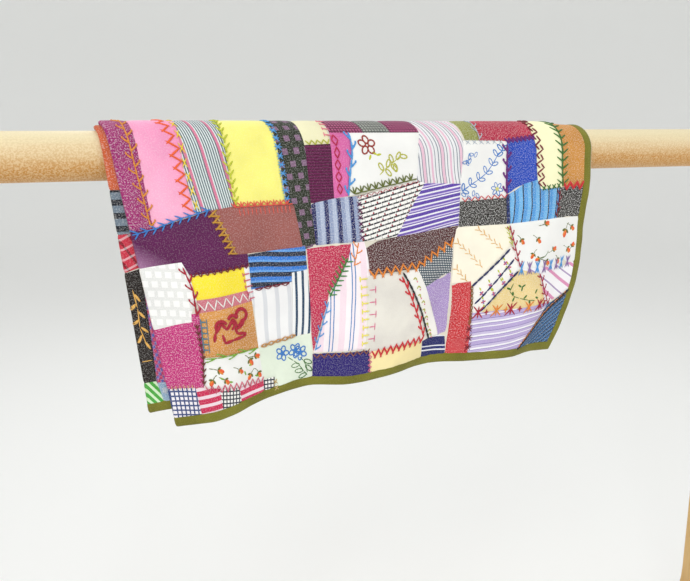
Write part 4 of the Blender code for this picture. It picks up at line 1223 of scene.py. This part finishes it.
for x, y, turn in ((60, 270, 30), (70, 276, 10), (92, 268, 70), (104, 262, 160), (106, 276, 20)):
    petal(motif("lime"), x, y, 6.0, 2.0, turn)
# blue flowers and curling green stems on the pale green patch
for x, y in ((143, 257), (160, 256), (167, 259)):
    for turn in range(0, 360, 72):
        loop(motif("blue"), x, y, 8.5, 5.4, turn + x, 1.4)
stem(motif("leaf"), [(150, 262), (158, 267), (165, 272), (172, 280), (177, 285)], 1.0)
stem(motif("leaf"), [(166, 264), (171, 268), (175, 274), (177, 282)], 1.0)
for x, y, turn in ((166, 272, 175), (171, 279, 180), (176, 283, 160), (172, 268, 20), (174, 274, 35)):
    loop(motif("leaf"), x, y, 11.0, 4.6, turn, 1.0)
# red couched figure on the amber patch
for start, points in enumerate((
    arc(95, 208, 6.5, -200, 100), arc(84, 212, 5.0, -160, -20), arc(70, 218, 6.5, 150, 330),
    [(97, 214), (90, 219), (82, 214), (76, 221), (70, 214), (62, 224), (60, 232)],
    [(82, 222), (88, 216), (84, 211), (78, 219)],
    [(70, 226), (72, 235), (82, 233), (96, 231), (98, 228), (88, 227), (86, 222), (94, 220), (98, 213)],
)):
    stem(motif("crimson"), points, 3.6 - 0.1 * start)
# green sprig on the tan patch, small flowers between the navy lines, olive sprigs
stem(motif("leaf"), [(444, 200), (441, 209), (447, 215), (456, 218), (470, 221), (480, 222)], 0.9)
for x, y, turn in ((456, 205, -150), (456, 205, -30), (457, 204, 90), (442, 207, 200), (447, 215, 250),
        (462, 219, -50), (470, 221, 50), (478, 214, -70), (480, 218, 20), (449, 216, 100)):
    petal(motif("leaf"), x, y, 6.0, 2.4, turn)
for x, y in ((404, 210), (414, 201), (425, 190), (436, 181), (408, 220), (420, 211), (431, 199),
        (440, 190), (431, 176)):
    for turn in range(0, 360, 90):
        petal(motif("lilac" if turn % 180 else "rose"), x, y, 3.0, 2.0, turn + x * 7)
    petal(motif("citron"), x + 1, y + 3, 4.5, 1.8, 60)
    petal(motif("citron"), x - 1, y - 3, 4.5, 1.8, 240)
for x, y, turn in ((308, 184, 60), (313, 194, 40), (317, 204, 80), (323, 212, 50), (327, 222, 80),
        (332, 231, 40), (337, 240, 70), (342, 248, 40), (346, 253, 70)):
    petal(motif("straw"), x, y, 4.6, 1.6, turn)
    petal(motif("straw"), x, y, 4.0, 1.4, turn + 80)
    petal(motif("shell"), x + 2, y + 4, 2.4, 1.6, turn)
# couched lines: navy cords across the sprigged patch, a black one beside the narrow strip
for start, end in (((391, 202), (437, 160)), ((398, 222), (442, 172)), ((407, 231), (448, 186))):
    points = [(start[0] + (end[0] - start[0]) * n / 7,
               start[1] + (end[1] - start[1]) * n / 7) for n in range(8)]
    stem(motif("navy"), points, 2.0)
stem(motif("black"), [(292 + 52 * n / 12, 178 + 81 * n / 12) for n in range(13)], 2.2)
# tan leaves on the black strip, and the white flower under them
leafy = stitches_in("fern_gold", on_strip)
stem(leafy, [(4, 176), (6, 195), (5, 215), (9, 232)], 1.2)
for x, y, turn in ((5, 180, 60), (5, 190, 130), (6, 198, 50), (6, 206, 140), (6, 214, 40),
        (6, 222, 120), (8, 229, 60)):
    petal(leafy, x, y, 10.0, 3.0, turn)
stem(leafy, [(0, 250), (13, 249)], 0.9)
for turn in range(0, 360, 72):
    petal(stitches_in("silver", on_strip), 22, 282, 4.0, 2.8, turn)

# ---- Threads --------------------------------------------------------------------------------
# All the stitches of one colour are one skein's work, in stranded cotton with a soft lustre.
# The strands' twist shows as lighter and darker streaks.


def thread_finish(name):
    shader = Shader("thread_" + name, roughness=0.6, sheen=0.1, shine=0.3)
    ply = shader.noise(shader.place(), 900.0, 2.0)
    colour = dye(*THREADS[name])
    shader.feed("Base Color", shader.mix(ply.ramp(0.3, 0.7), tuple(c * 0.72 for c in colour),
                                         tuple(min(1.0, c * 1.1 + 0.02) for c in colour)))
    shader.bump(ply, 0.5, 0.0004)
    return shader.material


for thread, sides in work.items():
    vertices, faces = [], []
    for place, stitches in sides.items():
        flat, count = [], len(vertices)
        for (shape, shape_faces), lay in stitches:
            lay = np.array(lay)
            faces += [[count + corner for corner in face] for face in shape_faces]
            flat.append(shape @ lay[:3, :3].T + lay[:3, 3])
            count += len(shape)
        flat = np.concatenate(flat)
        vertices += place(flat[:, 0], flat[:, 1], FACE + THREAD_RISE + flat[:, 2]).tolist()
    mesh = bpy.data.meshes.new("stitches_" + thread)
    mesh.from_pydata(vertices, [], faces)
    piece = add_piece(mesh.name, mesh, thread_finish(thread))
    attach(piece, "quilt")

model_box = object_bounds()
[[list(corner) for corner in box] for box in (cad_box, model_box)]
